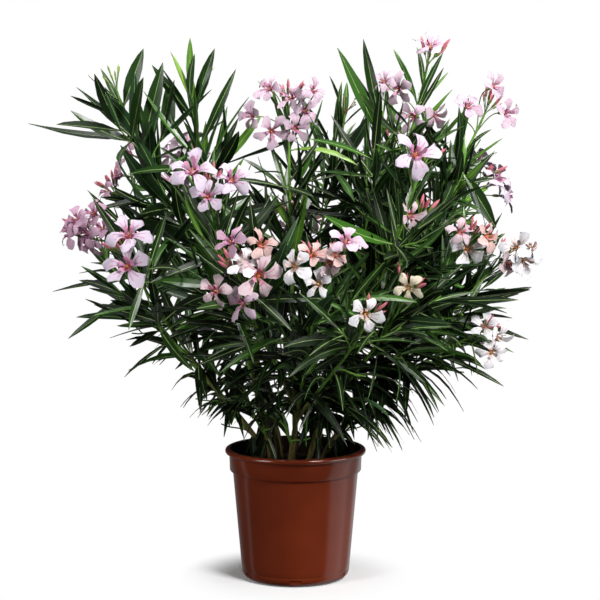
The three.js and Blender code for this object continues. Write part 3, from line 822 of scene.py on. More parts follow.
def sheetFaces(rows, cols):
    # A closed thin sheet: its upper grid, its lower grid and the rim. Each face says its side and place.
    top = lambda r, c: r * cols + c
    under = lambda r, c: rows * cols + r * cols + c
    faces, sides = [], []
    for r in range(rows - 1):
        for c in range(cols - 1):
            faces.append((top(r, c), top(r, c + 1), top(r + 1, c + 1), top(r + 1, c)))
            faces.append((under(r, c), under(r + 1, c), under(r + 1, c + 1), under(r, c + 1)))
            sides += [("top", r, c), ("under", r, c)]
        last = cols - 1
        faces.append((top(r, 0), top(r + 1, 0), under(r + 1, 0), under(r, 0)))
        faces.append((under(r, last), under(r + 1, last), top(r + 1, last), top(r, last)))
        sides += [("rim", r, 0), ("rim", r, last)]
    end = rows - 1
    for c in range(cols - 1):
        faces.append((under(0, c), under(0, c + 1), top(0, c + 1), top(0, c)))
        faces.append((top(end, c), top(end, c + 1), under(end, c + 1), under(end, c)))
        sides += [("rim", 0, c), ("rim", end, c)]
    return faces, sides


def tube(frames, radii, sides, relief=None):
    # A closed tube through the frames. `relief` adds to the radius by ring and angle.
    rings = []
    for i, f in enumerate(frames):
        for k in range(sides):
            angle = k / sides * fullTurn
            radius = radii[i] + (relief(i, angle, radii[i]) if relief else 0)
            rings.append(f.centre + (f.side * math.cos(angle) + f.across * math.sin(angle)) * radius)
    faces = []
    for i in range(len(frames) - 1):
        for k in range(sides):
            n = (k + 1) % sides
            faces.append((i * sides + k, i * sides + n, (i + 1) * sides + n, (i + 1) * sides + k))
    faces.append(tuple(range(sides))[::-1])
    faces.append(tuple((len(frames) - 1) * sides + k for k in range(sides)))
    return rings, faces


def turnedShape(profile, sides):
    # A shape turned round its own axis from (height, radius, finish) rings, with closed ends.
    points, faces, finishes = [], [], []
    for height, radius, _ in profile:
        for k in range(sides):
            angle = k / sides * fullTurn
            points.append((radius * math.cos(angle), radius * math.sin(angle), height))
    for i in range(len(profile) - 1):
        for k in range(sides):
            n = (k + 1) % sides
            faces.append((i * sides + k, i * sides + n, (i + 1) * sides + n, (i + 1) * sides + k))
            finishes.append(profile[i + 1][2])
    faces.append(tuple(range(sides))[::-1])
    faces.append(tuple((len(profile) - 1) * sides + k for k in range(sides)))
    return np.array(points), faces, finishes + [profile[0][2], profile[-1][2]]


def stood(shape, origin, side, along, size):
    across = np.cross(along, side)
    return origin + (shape[:, :1] * side + shape[:, 1:2] * across + shape[:, 2:] * along) * size


limbs, shoots = layOut()
for shoot in shoots:
    shoot.twigs = growTwigs(shoot)

woodRoom = {"spacing": 9, "reach": 4.5}


def keepWood():
    # Leaves stay clear of every limb and twig.
    for n, one in enumerate(limbs + [twig for shoot in shoots for twig in shoot.twigs]):
        end = getattr(one, "end", 1)
        steps = max(2, int(one.path.length * (end - one.start) / woodRoom["spacing"]))
        points = [one.path.point(lerp(one.start, end, i / steps)) for i in range(steps + 1)]
        room.add(points, ("wood", n), woodRoom["reach"])


keepWood()

rearHead = {"tries": 24, "spread": 1.35, "reach": 44, "step": 6, "apart": 38}
headDepth = 26  # over which a head's florets are spread, nearer and farther


def growHearts(shoot):
    # Where a head's florets open: given, or fanned out round the way that it faces.
    colours, depth, hearts = heads[shoot.name]
    throw = dice(shoot.seed + 5)
    tip = shoot.path.point(1)
    if depth is None:
        places = []
        for i in range(hearts):
            for _ in range(rearHead["tries"]):
                away = sideways(shoot.facing, throw() * fullTurn)
                way = leaning(shoot.facing, away, rearHead["spread"] * math.sqrt(throw()))
                heart = tip - up * rearHead["step"] * i + way * rearHead["reach"] * (0.85 + 0.4 * throw())
                if all(np.linalg.norm(heart - other) > rearHead["apart"] for other, _ in places):
                    places.append((heart, 0.9 + 0.4 * throw()))
                    break
    else:
        places = [(vec(x, depth + (throw() - 0.5) * headDepth, z), size) for x, z, size in hearts]
    return [colours[i % len(colours)] for i in range(len(places))], places, throw


for shoot in shoots:
    shoot.hearts = []
    if shoot.headed:
        shoot.tints, shoot.hearts, shoot.throw = growHearts(shoot)

# Leaves keep out of the way that the florets look, and off young stems and the front stem, which show.
openViews = {
    "front": vec(0, -150, 12),
    "rear": 100,
    "floret": 20,
    "young": ("crown", "cream", "low_white", "big_bloom", "seedheads"),
    "youngRadius": 4.8,
    "youngStep": 0.05,
    "youngEnd": 0.9,
    "stemRadius": 7.2,
    "stemStep": 0.015,
    "stemStart": 0.06,
}


def keepViews():
    for shoot in shoots:
        if shoot.headed:
            ahead = openViews["front"] if shoot.facing[1] < 0 else shoot.facing * openViews["rear"]
            for heart, size in shoot.hearts:
                room.clear(heart, ahead, openViews["floret"] * size)
    for shoot in shoots:
        if shoot.name in openViews["young"]:
            step = openViews["youngStep"]
            for i in range(round(openViews["youngEnd"] / step) + 1):
                root = shoot.path.point(lerp(shoot.start, 1, step * i))
                room.clear(root, openViews["front"], openViews["youngRadius"])
    step = openViews["stemStep"]
    for i in range(round(openViews["stemStart"] / step), round(wood["fork"] / step) + 1):
        room.clear(limbs[0].path.point(step * i), openViews["front"], openViews["stemRadius"])


keepViews()

leafGroups = {name: [] for name in stems}


# How leaves answer to light and weight: painted shade in steps of darker green, sags as shares of the length.
habit = {
    "reach": 4.6,  # kept free round a leaf's middle line
    "placedSpread": 1.15,  # how far past the outline a placed leaf may go
    "shade": 3.4,  # for each share of the way in from where the shade begins
    "shadeFrom": 0.62,
    "shadeTop": 720,
    "shadeDepth": 160,
    "leastShade": 0.15,
    "lowTop": 470,
    "lowDepth": 200,
    "lowSag": 0.9,
    "lowShade": 0.9,
    "inward": -0.15,
    "inwardLoss": 1.2,
    "spread": (0.84, 0.78),  # of the outline, high on the plant and low
    "spreadChance": (0.2, 0.36),
    "twist": 1.5,
    "fold": (0.1, 0.4),
}


def sprout(stem, root, way, face, length, sag, owner, tint, throw, placed=False, breadth=1):
    # Adds a leaf where it finds room, if need be shorter or swung aside. Low leaves point out and hang more.
    spread, shade, bow = habit["placedSpread"], 0, 0
    if not placed:
        # Leaves deep inside the plant and low on it take darker greens: painted shade, which fades out high
        # up.
        shadeByHeight = clamp((habit["shadeTop"] - root[2]) / habit["shadeDepth"], habit["leastShade"])
        shade = habit["shade"] * max(0, habit["shadeFrom"] - shareOut(root)) * shadeByHeight
        low = clamp((habit["lowTop"] - root[2]) / habit["lowDepth"])
        outward = np.dot(way[:2], root[:2]) / max(np.linalg.norm(root[:2]), 1)
        if outward < habit["inward"] and throw() < low * habit["inwardLoss"]:
            return
        sag += habit["lowSag"] * low * math.sqrt(1 - way[2] ** 2)
        shade += habit["lowShade"] * low
        spread = lerp(*habit["spread"], low) + lerp(*habit["spreadChance"], low) * throw()
        bow = leaf["bow"] * (throw() - 0.5) * 2
    bend = sideways(way, throw() * fullTurn) * bow - up * sag
    for shorter, swing in leaf["tries"]:
        turned = turnRound(way, unit(face), math.radians(swing)) if swing else way
        samples = leafSamples(root, turned, bend, length * shorter)
        if room.holds(samples, owner, spread):
            room.add(samples, owner, habit["reach"])
            leafGroups[stem].append(
                SimpleNamespace(
                    root=root,
                    way=turned,
                    face=face,
                    length=length * shorter,
                    bend=bend,
                    twist=(throw() - 0.5) * habit["twist"],
                    fold=habit["fold"][0] + habit["fold"][1] * throw(),
                    chance=throw(),
                    tint=max(0, round(tint - shade)),
                    broad=breadth,
                )
            )
            return


# Steps of green that a shoot's youngest leaves are lighter by, and where that begins.
fresh = {"young_tips": 3.4, "top_left": 0.6, "seedheads": 1.4, "crown": 1.6, "cream": 1}
# Tints by age, and a lift for high shoots that is partly painted light.
ageAndPaintedLight = {"fresh": 0.5, "freshFrom": 0.35, "freshGain": 1.4, "highFrom": 520, "highDepth": 220, "youngest": 5}


def greenOf(shoot, ripe, throw):
    # Leaves are younger, so lighter, towards a shoot's tip; on high shoots they are lighter still, partly as
    # younger growth and partly as painted light from above.
    high = clamp((shoot.path.point(1)[2] - ageAndPaintedLight["highFrom"]) / ageAndPaintedLight["highDepth"])
    if shoot.name == "top_left":
        high = 0
    young = fresh.get(shoot.name, ageAndPaintedLight["fresh"]) * max(0, ripe - ageAndPaintedLight["freshFrom"]) * ageAndPaintedLight["freshGain"]
    return int(min(ageAndPaintedLight["youngest"], 1 + (2 + 0.9 * high) * throw() ** 1.2 + ripe * throw() + young))


def placeOutliers(shoot):
    throw = dice(shoot.seed + 3)
    for n, (at, bearing, rise, length, sag, *rest) in enumerate(outliers.get(shoot.name, [])):
        way = bearingOf(bearing, rise)
        face = unit(vec(0, -1, 0.2)) if abs(way[2]) > 0.8 else unit(vec(0, -0.6, 0.8))
        root = shoot.path.point(lerp(shoot.start, 1, at))
        tint = rest[0] if rest else greenOf(shoot, 0.6, throw)
        breadth = rest[1] if len(rest) > 1 else 1.1 * broad.get(shoot.name, 1)
        sprout(shoot.stem, root, way, face, length, sag, (shoot.name, n), tint, throw, True, breadth)


def whorlAway(f, i, k, throw):
    # The way that leaf `k` of whorl `i` leaves its twig: each whorl stands between the leaves of the last.
    step = 360 / leaf["perWhorl"]
    angle = math.radians(step / 2 * i + step * k + (throw() - 0.5) * leaf["scatter"])
    return f.side * math.cos(angle) + f.across * math.sin(angle)


# High shoots are airier, and a headed shoot's leaves end below its flowers.
leafing = {"airyFrom": 480, "airyDepth": 300, "airy": 0.5, "underHead": 20, "skirtApart": 1.4, "first": 0.4}


def growWhorls(shoot, t, twig):
    throw = dice(shoot.seed + 7 * (t + 1))
    airy = clamp((shoot.path.point(1)[2] - leafing["airyFrom"]) / leafing["airyDepth"])
    span = np.linalg.norm(twig.path.point(1) - twig.path.point(twig.start))
    apart = sparse.get(shoot.name, leafing["skirtApart"] if shoot.name.startswith("skirt_") else 1)
    count = max(2, round(span / (leaf["spacing"] * (1 + leafing["airy"] * airy) * apart)))
    top = 1 - leafing["underHead"] / span if shoot.headed and twig.main else 1
    ripeness = [top * (i + leafing["first"]) / count for i in range(count)]
    frames = framesOf(twig.path, [twig.start] + [lerp(twig.start, 1, ripe) for ripe in ripeness])[1:]
    for i, (ripe, f) in enumerate(zip(ripeness, frames)):
        for k in range(leaf["perWhorl"]):
            away = whorlAway(f, i + 1, k, throw)
            drawnIn = lerp(leaf["rootAngle"], leaf["tipAngle"], ripe) + leaf["droopAngle"] * shoot.droop
            lean = math.radians(drawnIn + (throw() - 0.5) * leaf["scatter"])
            young = 1 - (0.9 if shoot.headed else 0.75) * max(0, ripe - 0.5)
            length = shoot.leafLength * young * (0.78 + 0.36 * throw())
            sag = shoot.droop * (0.6 + 0.9 * throw()) * math.sin(lean)
            way = leaning(f.along, away, lean)
            tint = greenOf(shoot, ripe, throw)
            owner, breadth = (shoot.name, t, i), broad.get(shoot.name, 1)
            sprout(shoot.stem, f.centre, way, f.along, length, sag, owner, tint, throw, breadth=breadth)


# Leaves on the bare wood, above its lowest part. Some by the pot's mouth hang straight down, broad and old.
bareWood = {
    "seed": 4001,
    "stemFrom": 0.05,
    "boughFrom": 0.2,
    "angle": 60,
    "lowAngle": 46,
    "scatter": 30,
    "length": 132,
    "lowLength": 108,
    "sag": 0.34,
    "lowSag": 0.5,
    "breadth": 1.25,
    "lowBreadth": 1.85,
    "lowTop": 300,
    "lowDepth": 90,
    "hangTop": 290,
    "hangChance": 0.6,
    "hangGap": 6,
    "hangSlope": 1.7,
    "hangBreadth": 2.4,
}


def dressBareWood(n, one):
    throw, rule = dice(bareWood["seed"] + 31 * n), bareWood
    first = rule["stemFrom"] if one.isStem else rule["boughFrom"]
    count = round(one.path.length * (one.end - one.start) * (1 - first) / leaf["spacing"])
    shares = [lerp(one.start, one.end, lerp(first, 1, (i + 0.5) / count)) for i in range(count)]
    for i, f in enumerate(framesOf(one.path, shares)):
        for k in range(leaf["perWhorl"]):
            away = whorlAway(f, i, k, throw)
            low = clamp((rule["lowTop"] - f.centre[2]) / rule["lowDepth"])
            angle = lerp(rule["angle"], rule["lowAngle"], low)
            lean = math.radians(angle + (throw() - 0.5) * rule["scatter"])
            length = lerp(rule["length"], rule["lowLength"], low) * (0.75 + 0.4 * throw())
            sag = rule["sag"] * (0.6 + 0.8 * throw())
            tint, owner, face = 1 + int(1.8 * throw()), ("limb", n, i), f.along
            way, breadth = leaning(f.along, away, lean), lerp(rule["breadth"], rule["lowBreadth"], low)
            if f.centre[2] < rule["hangTop"] and throw() < rule["hangChance"]:
                outward = away * vec(1, 1, 0)
                length = (f.centre[2] - soilTop - rule["hangGap"]) * (0.9 + 0.3 * throw())
                way, face = unit(outward - up * rule["hangSlope"]), unit(outward + up * 0.2)
                sag, breadth = 0, rule["hangBreadth"]
            else:
                sag += rule["lowSag"] * low
            sprout(one.stem, f.centre, way, face, length, sag, owner, tint, throw, breadth=breadth)


for shoot in shoots:
    placeOutliers(shoot)
for shoot in shoots:
    for t, twig in enumerate(shoot.twigs):
        growWhorls(shoot, t, twig)
for n, one in enumerate(limbs):
    dressBareWood(n, one)
print("leaves", sum(len(g) for g in leafGroups.values()))


blade = {
    "stations": (0, 0.09, 0.26, 0.47, 0.68, 0.87, 1),
    "profile": (0.1, 0.24, 0.78, 1, 0.88, 0.5, 0.03),
    "width": 0.04,
    "moreWidth": 0.036,
    "rib": 0.68,
    "ribTaper": 0.72,
    "ribHeight": 1.2,
    "ribFade": 0.7,
    "wave": 0.6,
    "trough": 0.3,
    "thickness": 0.45,
    "sharp": 60,
}


def leafPoints(group):
    # The upper and lower grids of all the leaves of a group, as (leaves, points, 3). Across a leaf run its
    # margin, the two edges of its midrib and its other margin.
    column = lambda name: np.array([getattr(one, name) for one in group])
    root, way, face, bend = (column(name) for name in ("root", "way", "face", "bend"))
    length, twist, fold, chance = (column(name) for name in ("length", "twist", "fold", "chance"))
    across = np.cross(way, face)
    across /= np.linalg.norm(across, axis=1, keepdims=True)
    half = length * (blade["width"] + blade["moreWidth"] * chance**2) * column("broad")
    upper, lower = [], []
    for s, w in zip(blade["stations"], blade["profile"]):
        centre = root + (way + bend * s) * (length * s)[:, None]
        along = way + 2 * bend * s
        along /= np.linalg.norm(along, axis=1, keepdims=True)
        normal = np.cross(across, along)
        turn = (twist * s**1.5)[:, None]
        side = across * np.cos(turn) + normal * np.sin(turn)
        out = normal * np.cos(turn) - across * np.sin(turn)
        rib = blade["rib"] * (1 - blade["ribTaper"] * s)
        for sign, onRib in ((-1, False), (-1, True), (1, True), (1, False)):
            x = np.full(len(group), rib) if onRib else np.maximum(half * w, rib * 1.02)
            wave = 0 if onRib else blade["wave"] * np.sin(8 * s + 20 * chance + sign) * w
            rise = x * np.sin(fold) - blade["trough"] * fold * x * x / half + wave
            thick = blade["thickness"] + blade["ribHeight"] * (1 - blade["ribFade"] * s) * onRib
            point = centre + side * (sign * x)[:, None] + out * rise[:, None]
            upper.append(point)
            lower.append(point - out * thick)
    return np.stack(upper + lower, axis=1)


def makeLeaves():
    faces, sides = sheetFaces(len(blade["stations"]), 4)
    for stemName, group in leafGroups.items():
        heap = Heap()
        tint = np.array([one.tint for one in group])
        finishes = np.repeat(tint[:, None], len(faces), axis=1)
        for f, (side, row, col) in enumerate(sides):
            # Leaves in painted shade get a dark midrib, and a dark underside that is painted shade too.
            if col == 1 and side != "rim":
                finishes[:, f] = np.where(tint > 0, ribFinish, fullFinish)
            elif side == "under":
                finishes[:, f] = np.where(tint > 1, underFinish, oldAndShadedFinish)
        heap.addMany(leafPoints(group), faces, finishes)
        name = "leaves_" + stemName
        nodes = ["foliage_" + shoot.name for shoot in shoots if shoot.stem == stemName]
        place(name, heap.mesh(name, leafFinishes, blade["sharp"]), nodes)


makeLeaves()
print("leaf meshes made")


twigSkin = {"step": 11, "sides": 8, "sharp": 50}


def makeTwigs():
    heap = Heap()
    for shoot in shoots:
        for twig in shoot.twigs:
            steps = max(4, int(twig.path.length * (1 - twig.start) / twigSkin["step"]))
            shares = [lerp(twig.start, 1, i / steps) for i in range(steps + 1)]
            radii = [twig.radiusAt(share) for share in shares]
            heap.add(*tube(framesOf(twig.path, shares), radii, twigSkin["sides"]), 0)
    place("twigs", heap.mesh("twigs", [makeTwigBark()], twigSkin["sharp"]))


# Relief as shares of the radius: fine ridges, and knots where the leaves of past years stood.
barkSkin = {
    "step": 3.5,
    "sides": {"stem": 20, "bough": 14},
    "ridges": 0.07,
    "ridgesRound": 2.4,
    "ridgesAlong": 0.045,
    "knots": 0.14,
    "knotSpacing": 26,
    "knotWidth": 2.5,
    "sharp": 70,
}


def barkRadius(n, along, angle, radius):
    # What limb `n` adds to its radius at a place along it and round it.
    turn, climb = barkSkin["ridgesRound"], along * barkSkin["ridgesAlong"] + 9 * n
    ridge = noise.noise(Vector((math.cos(angle) * turn, math.sin(angle) * turn, climb)))
    off = (along + 7 * n) % barkSkin["knotSpacing"] - barkSkin["knotSpacing"] / 2
    knot = math.exp(-((off / barkSkin["knotWidth"]) ** 2))
    lobe = 0.6 + 0.4 * math.cos(3 * angle + n)
    return radius * (barkSkin["ridges"] * ridge + barkSkin["knots"] * knot * lobe)


def makeWood(kind, bark):
    heap = Heap()
    for n, one in enumerate(one for one in limbs if one.isStem == (kind == "stem")):
        reach = one.path.length * (one.end - one.start)
        steps = int(reach / barkSkin["step"])
        shares = [lerp(one.start, one.end, i / steps) for i in range(steps + 1)]
        relief = lambda i, angle, radius: barkRadius(n, reach * i / steps, angle, radius)
        radii = [one.radiusAt(share) for share in shares]
        heap.add(*tube(framesOf(one.path, shares), radii, barkSkin["sides"][kind], relief), 0)
    nodes = sorted(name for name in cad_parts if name.startswith(kind + "_"))
    place(kind + "s", heap.mesh(kind + "s", [bark], barkSkin["sharp"]), nodes)


makeTwigs()
youngBark = makeBark()
for kind in ("stem", "bough"):
    makeWood(kind, youngBark)
print("wood made")


petal = {
    "radius": 26,
    "throat": 2.9,
    "rows": (0, 0.16, 0.36, 0.62, 0.87, 1),
    "widths": (2.0, 2.7, 4.4, 7.2, 8.2, 4.9),
    "heights": (-9, -3, 0.2, 1.2, -0.4, -1.4),
    "cols": (-1, -0.55, -0.36, 0.36, 0.55, 1),
    "thickness": 0.45,
    "perFloret": 5,
    # Each petal's own chance, as its start and its range where there are two.
    "slack": 0.3,
    "reach": (0.84, 0.32),
    "curl": 16,
    "twist": (0.25, 0.8),
    "swerve": (3.4, 7),
    "breadth": (0.85, 0.35),
}
# The scales of the throat are petals again, small, narrow and lifted off the others.
throatScale = {"reach": 0.24, "breadth": 0.35, "rise": 0.6, "lift": 4.5, "back": 3}


def petalPoints(heart, facing, side, size, throw, isScale=False):
    # Petals like a propeller's blades, each with its own curl, twist and slant.
    small, breadth, steep, lift = 1, 1, 1, 0
    if isScale:
        small, breadth, steep, lift = (throatScale[key] for key in ("reach", "breadth", "rise", "lift"))
    across = np.cross(facing, side)
    copies = []
    for k in range(petal["perFloret"]):
        phi = k / petal["perFloret"] * fullTurn + (throw() - 0.5) * petal["slack"]
        outward = side * math.cos(phi) + across * math.sin(phi)
        sideward = np.cross(facing, outward)
        reach = (petal["reach"][0] + petal["reach"][1] * throw()) * small
        curl = (throw() - 0.45) * petal["curl"]
        twist = petal["twist"][0] + petal["twist"][1] * (throw() - 0.5)
        wave = throw() * 6
        swerve = petal["swerve"][0] + petal["swerve"][1] * (throw() - 0.5)
        narrow = (petal["breadth"][0] + petal["breadth"][1] * throw()) * breadth
        grid = []
        for q, w, h in zip(petal["rows"], petal["widths"], petal["heights"]):
            radius = petal["throat"] + (petal["radius"] - petal["throat"]) * q * reach
            for u in petal["cols"]:
                radial = radius - (3 * u * u * q**4 + 4 * u * q**3) * small
                ruffle = 1.4 * math.sin(wave + 4 * q + 2.5 * u) * u * u * q
                z = h * steep - curl * q * q + u * w * narrow * twist + ruffle
                x = u * w * narrow + swerve * q * q * reach
                ahead = z + lift * (q + 0.2)
                grid.append(heart + (outward * radial + sideward * x + facing * ahead) * size)
        upper = np.array(grid)
        copies.append(np.concatenate([upper, upper - facing * petal["thickness"] * size]))
    return np.stack(copies)


petalFaces, petalSides = sheetFaces(len(petal["rows"]), len(petal["cols"]))


def petalFinishes(start):
    # A deeper colour at the throat runs out along each petal as two fine veins.
    veined = lambda side, row, col: row < 1 or row < 3 and side == "top" and col in (1, 3)
    return [start + 1 if veined(*spot) else start for spot in petalSides]


# Turned shapes as heights and radii, from the floret's heart or the bud's foot.
tubeShape = [(-24, 1.0), (-20, 1.5), (-14, 2.0), (-9, 2.9), (-7, 3.4), (-8.6, 2.0), (-9.5, 0.4)]
coneShape = [(-9, 0.9), (-5, 1.2), (-1, 0.6), (1.5, 0.15)]
calyxShape = [(-27, 0.7), (-24.5, 1.9), (-20, 2.5), (-16.5, 1.9)]
budShape = [(0, 0.8), (2, 1.8), (6, 2.3), (9, 2.1), (14, 2.7), (20, 1.9), (25, 0.2)]
knobShape = [(0, 0.5), (1.6, 1.5), (3.4, 1.1), (4.2, 0.2)]
budTurn = math.radians(137.5)

stalk = {
    "radius": 0.95,
    "budRadius": 0.7,
    "spentRadius": 0.8,
    "foot": 1.2,
    "lead": 0.35,
    "steps": 8,
    "sides": 6,
}


def addStalk(heap, start, heading, end, arrival, radius, finishIndex):
    # A thin stalk that leaves along one way and arrives along another.
    gap = np.linalg.norm(end - start)
    path = Route(start, heading, stalk["lead"], end, 0)
    path.knots[2] = end - arrival * gap * stalk["lead"]
    shares = [i / stalk["steps"] for i in range(stalk["steps"] + 1)]
    radii = [lerp(radius * stalk["foot"], radius, share) for share in shares]
    heap.add(*tube(framesOf(path, shares), radii, stalk["sides"]), finishIndex)


def nearestShare(path, point, low):
    shares = [lerp(low, 0.97, i / 30) for i in range(31)]
    return min(shares, key=lambda s: np.linalg.norm(path.point(s) - point))


floret = {"size": 1.06, "fan": 60, "fanOut": 0.7, "slack": 0.9, "neck": 26, "hubBelow": 24, "lowestHub": 0.3}


def addFloret(heap, shoot, tint, heart, given, centre):
    throw, start, size = shoot.throw, tintStart[tint], given * floret["size"]
    fan = (heart - centre) / floret["fan"] * floret["fanOut"]
    facing = unit(shoot.facing + fan + vec(throw() - 0.5, 0, throw() - 0.4) * floret["slack"])
    side = sideways(facing, throw() * fullTurn)
    points = petalPoints(heart, facing, side, size, throw)
    heap.addMany(points, petalFaces, [petalFinishes(start)] * len(points))
    scales = petalPoints(heart - facing * throatScale["back"], facing, side, size, throw, True)
    heap.addMany(scales, petalFaces, [[start + 1] * len(petalFaces)] * len(scales))
    for profile, finishes in (
        (tubeShape, [start, start, start, start, start, start + 2, start + 2]),
        (coneShape, [pollen] * 4),
        (calyxShape, [calyx] * 4),
    ):
        shape, faces, each = turnedShape([(h, r, m) for (h, r), m in zip(profile, finishes)], 10)
        heap.add(stood(shape, heart, side, facing, size), faces, each)
    neck = heart - facing * floret["neck"] * size
    share = nearestShare(shoot.path, neck, 0.5) - floret["hubBelow"] / shoot.path.length
    share = max(floret["lowestHub"], share)
    hub, along = shoot.path.point(share), shoot.path.tangent(share)
    addStalk(heap, hub, unit(along + unit(neck - hub) * 0.8), neck, facing, stalk["radius"], stalkGreen)


def addBuds(heap, shoot, count, small, green):
    throw = dice(shoot.seed + 11)
    ends = budGreen if green else budRose
    profile = [(h, r, calyx if i < 4 and not green else ends) for i, (h, r) in enumerate(budShape)]
    shape, faces, each = turnedShape(profile, 8)
    tip, along = shoot.path.point(1), shoot.path.tangent(1)
    for i in range(count):
        away = sideways(along, i * budTurn + throw())
        way = unit(along + away * (0.25 + 0.5 * throw()))
        bud = small * (0.7 + 0.5 * throw())
        start = tip + way * (12 + 16 * throw()) + away * 2
        hub = shoot.path.point(1 - (4 + 10 * throw()) / shoot.path.length)
        # A bud that would stand in an open floret is left out.
        if any(np.linalg.norm(start + way * 12 - heart) < 18 * size for heart, size in shoot.hearts):
            continue
        addStalk(heap, hub, along, start, way, stalk["budRadius"], stalkGreen)
        heap.add(stood(shape, start - way, sideways(way, 0), way, bud), faces, each)


spentHead = {"shoot": "seedheads", "count": 9, "seed": 77, "turn": 2.4}


def addSpentHead(heap, shoot):
    # Spent flower stalks: forked brown stalks with small knobs.
    throw, along = dice(spentHead["seed"]), shoot.path.tangent(1)
    knob, faces, finishes = turnedShape([(h, r, spent) for h, r in knobShape], 6)
    for i in range(spentHead["count"]):
        hub = shoot.path.point(1 - 14 * throw() / shoot.path.length)
        away = sideways(along, i * spentHead["turn"] + throw())
        way = unit(along + away * (0.3 + 0.5 * throw()))
        end = hub + way * (22 + 20 * throw())
        addStalk(heap, hub, along, end, way, stalk["spentRadius"], spent)
        heap.add(stood(knob, end - way, sideways(way, 0), way, 1), faces, finishes)


# Buds round a head of open florets, and the small green ones of a shoot that hasn't opened.
buds = {"open": (9, 1.0, False), "green": (8, 0.6, True), "greenShoot": "top_left"}
blossomSharp = 55


def makeBlossom(stemName):
    heap = Heap()
    for shoot in shoots:
        if shoot.stem != stemName:
            continue
        if shoot.headed:
            centre = sum(heart for heart, _ in shoot.hearts) / len(shoot.hearts)
            for tint, (heart, size) in zip(shoot.tints, shoot.hearts):
                addFloret(heap, shoot, tint, heart, size, centre)
            addBuds(heap, shoot, *buds["open"])
        elif shoot.name == buds["greenShoot"]:
            addBuds(heap, shoot, *buds["green"])
        elif shoot.name == spentHead["shoot"]:
            addSpentHead(heap, shoot)
    name = "blossom_" + stemName
    place(name, heap.mesh(name, blossomFinishes, blossomSharp))


for stemName in stems:
    makeBlossom(stemName)
print("blossom made")


pot = {
    "height": 222,
    "rimRadius": 120,
    "rimDepth": 9,
    "collarRadius": 112,
    "collarDepth": 38,
    "shoulderRadius": 107,
    "footRadius": 92,
    "cornerRadius": 13,
    "wall": 2,
    "floor": 3,
    "drains": 6,
    "drainWidth": 20,
    "drainHeight": 9,
    "drainDepth": 2.6,
    "drainLift": 3.5,
    "grooveHeight": 16,
    "collarFlare": 1,
    "segments": 160,
    "sharp": 38,
}


def arc(r, z, radius, first, last, steps):
    angles = [math.radians(lerp(first, last, i / steps)) for i in range(steps + 1)]
    return [(r + radius * math.cos(a), z + radius * math.sin(a)) for a in angles]


def turnedMesh(profile, segments, ripple=None):
    # A closed profile of (radius, height) turned round Z. Its first and last points lie on the axis.
    points, faces = [], []
    inner = profile[1:-1]
    for r, z in inner:
        for k in range(segments):
            angle = k / segments * fullTurn
            dz = ripple(r, z, angle) if ripple else 0
            points.append((r * math.cos(angle), r * math.sin(angle), z + dz))
    for i in range(len(inner) - 1):
        for k in range(segments):
            n = (k + 1) % segments
            faces.append((i * segments + k, i * segments + n, (i + 1) * segments + n, (i + 1) * segments + k))
    points += [(0, 0, profile[0][1]), (0, 0, profile[-1][1])]
    low, high, last = len(points) - 2, len(points) - 1, (len(inner) - 1) * segments
    for k in range(segments):
        n = (k + 1) % segments
        faces += [(low, n, k), (high, last + k, last + n)]
    return points, faces


def drainCutter():
    # A ring of blocks that cut the drain notches into the foot as shallow recesses.
    cutter = bmesh.new()
    foot, width, height = pot["footRadius"], pot["drainWidth"], pot["drainHeight"]
    middle = pot["drainLift"] + height / 2
    for i in range(pot["drains"]):
        angle = i / pot["drains"] * fullTurn - math.pi / 2
        c, s = math.cos(angle), math.sin(angle)
        for v in bmesh.ops.create_cube(cutter, size=1)["verts"]:
            x, y, z = foot + (v.co.x + 0.5) * 10 - pot["drainDepth"], v.co.y * width, v.co.z * height + middle
            v.co = Vector((x * c - y * s, x * s + y * c, z)) * metre
    mesh = bpy.data.meshes.new("drains")
    cutter.to_mesh(mesh)
    cutter.free()
    return mesh


def makePot():
    height, foot, corner, wall = pot["height"], pot["footRadius"], pot["cornerRadius"], pot["wall"]
    step, roll, flare = height - pot["collarDepth"], pot["rimDepth"] / 2, pot["collarFlare"]
    collar, shoulder = pot["collarRadius"], pot["shoulderRadius"]
    outer = arc(foot - corner, corner, corner, -90, -2, 10)
    line = pot["grooveHeight"]
    groove = [(foot + 0.12, line - 0.6), (foot + 0.02, line), (foot + 0.28, line + 0.6)]
    side = [(lerp(foot, shoulder, t), lerp(corner, step, t)) for t in (0.08, 0.3, 0.6, 0.9, 0.985)]
    under = [(shoulder + 0.1, step - 0.6), (shoulder + 1, step)]
    over = [(collar - 0.8, step + 0.3), (collar, step + 1.4), (collar + flare, height - pot["rimDepth"])]
    rim = arc(pot["rimRadius"] - roll, height - roll, roll, -70, 90, 14)
    inside = [
        (collar - 0.5, height - 0.2),
        (collar - wall, height - wall),
        (collar - wall - 0.5, step + 3),
        (shoulder - wall, step - 1),
        (foot - wall, corner),
        (foot - corner, pot["floor"]),
    ]
    base = [(0, 0), (foot - corner, 0)]
    profile = [*base, *outer[1:], *groove, *side, *under, *over, *rim, *inside]
    points, faces = turnedMesh([*profile, (0, pot["floor"])], pot["segments"])
    # Polypropylene dulled by a film of dried mix, and darker than the outside as painted shade of the pot's
    # inside.
    dustAndShade = finish("dust_and_painted_shade_inside", "#1f0d08", 0.8, Specular_IOR_Level=0.2)[0]
    split = (len(profile) - len(inside) - 1) * pot["segments"]
    heap = Heap()
    # The faces of the inside take the darker finish: painted shade.
    heap.add(points, faces, [1 if split <= min(face) < len(points) - 2 else 0 for face in faces])
    drains = shown("drains", drainCutter())
    cut = {"object": drains, "operation": "DIFFERENCE", "solver": "EXACT"}
    whole = heap.mesh("pot_shell", [makePlastic(), dustAndShade], pot["sharp"])
    place("pot_shell", baked("pot_shell", whole, "BOOLEAN", cut), ["pot"])
    bpy.data.objects.remove(drains)


makePot()
print("pot made")


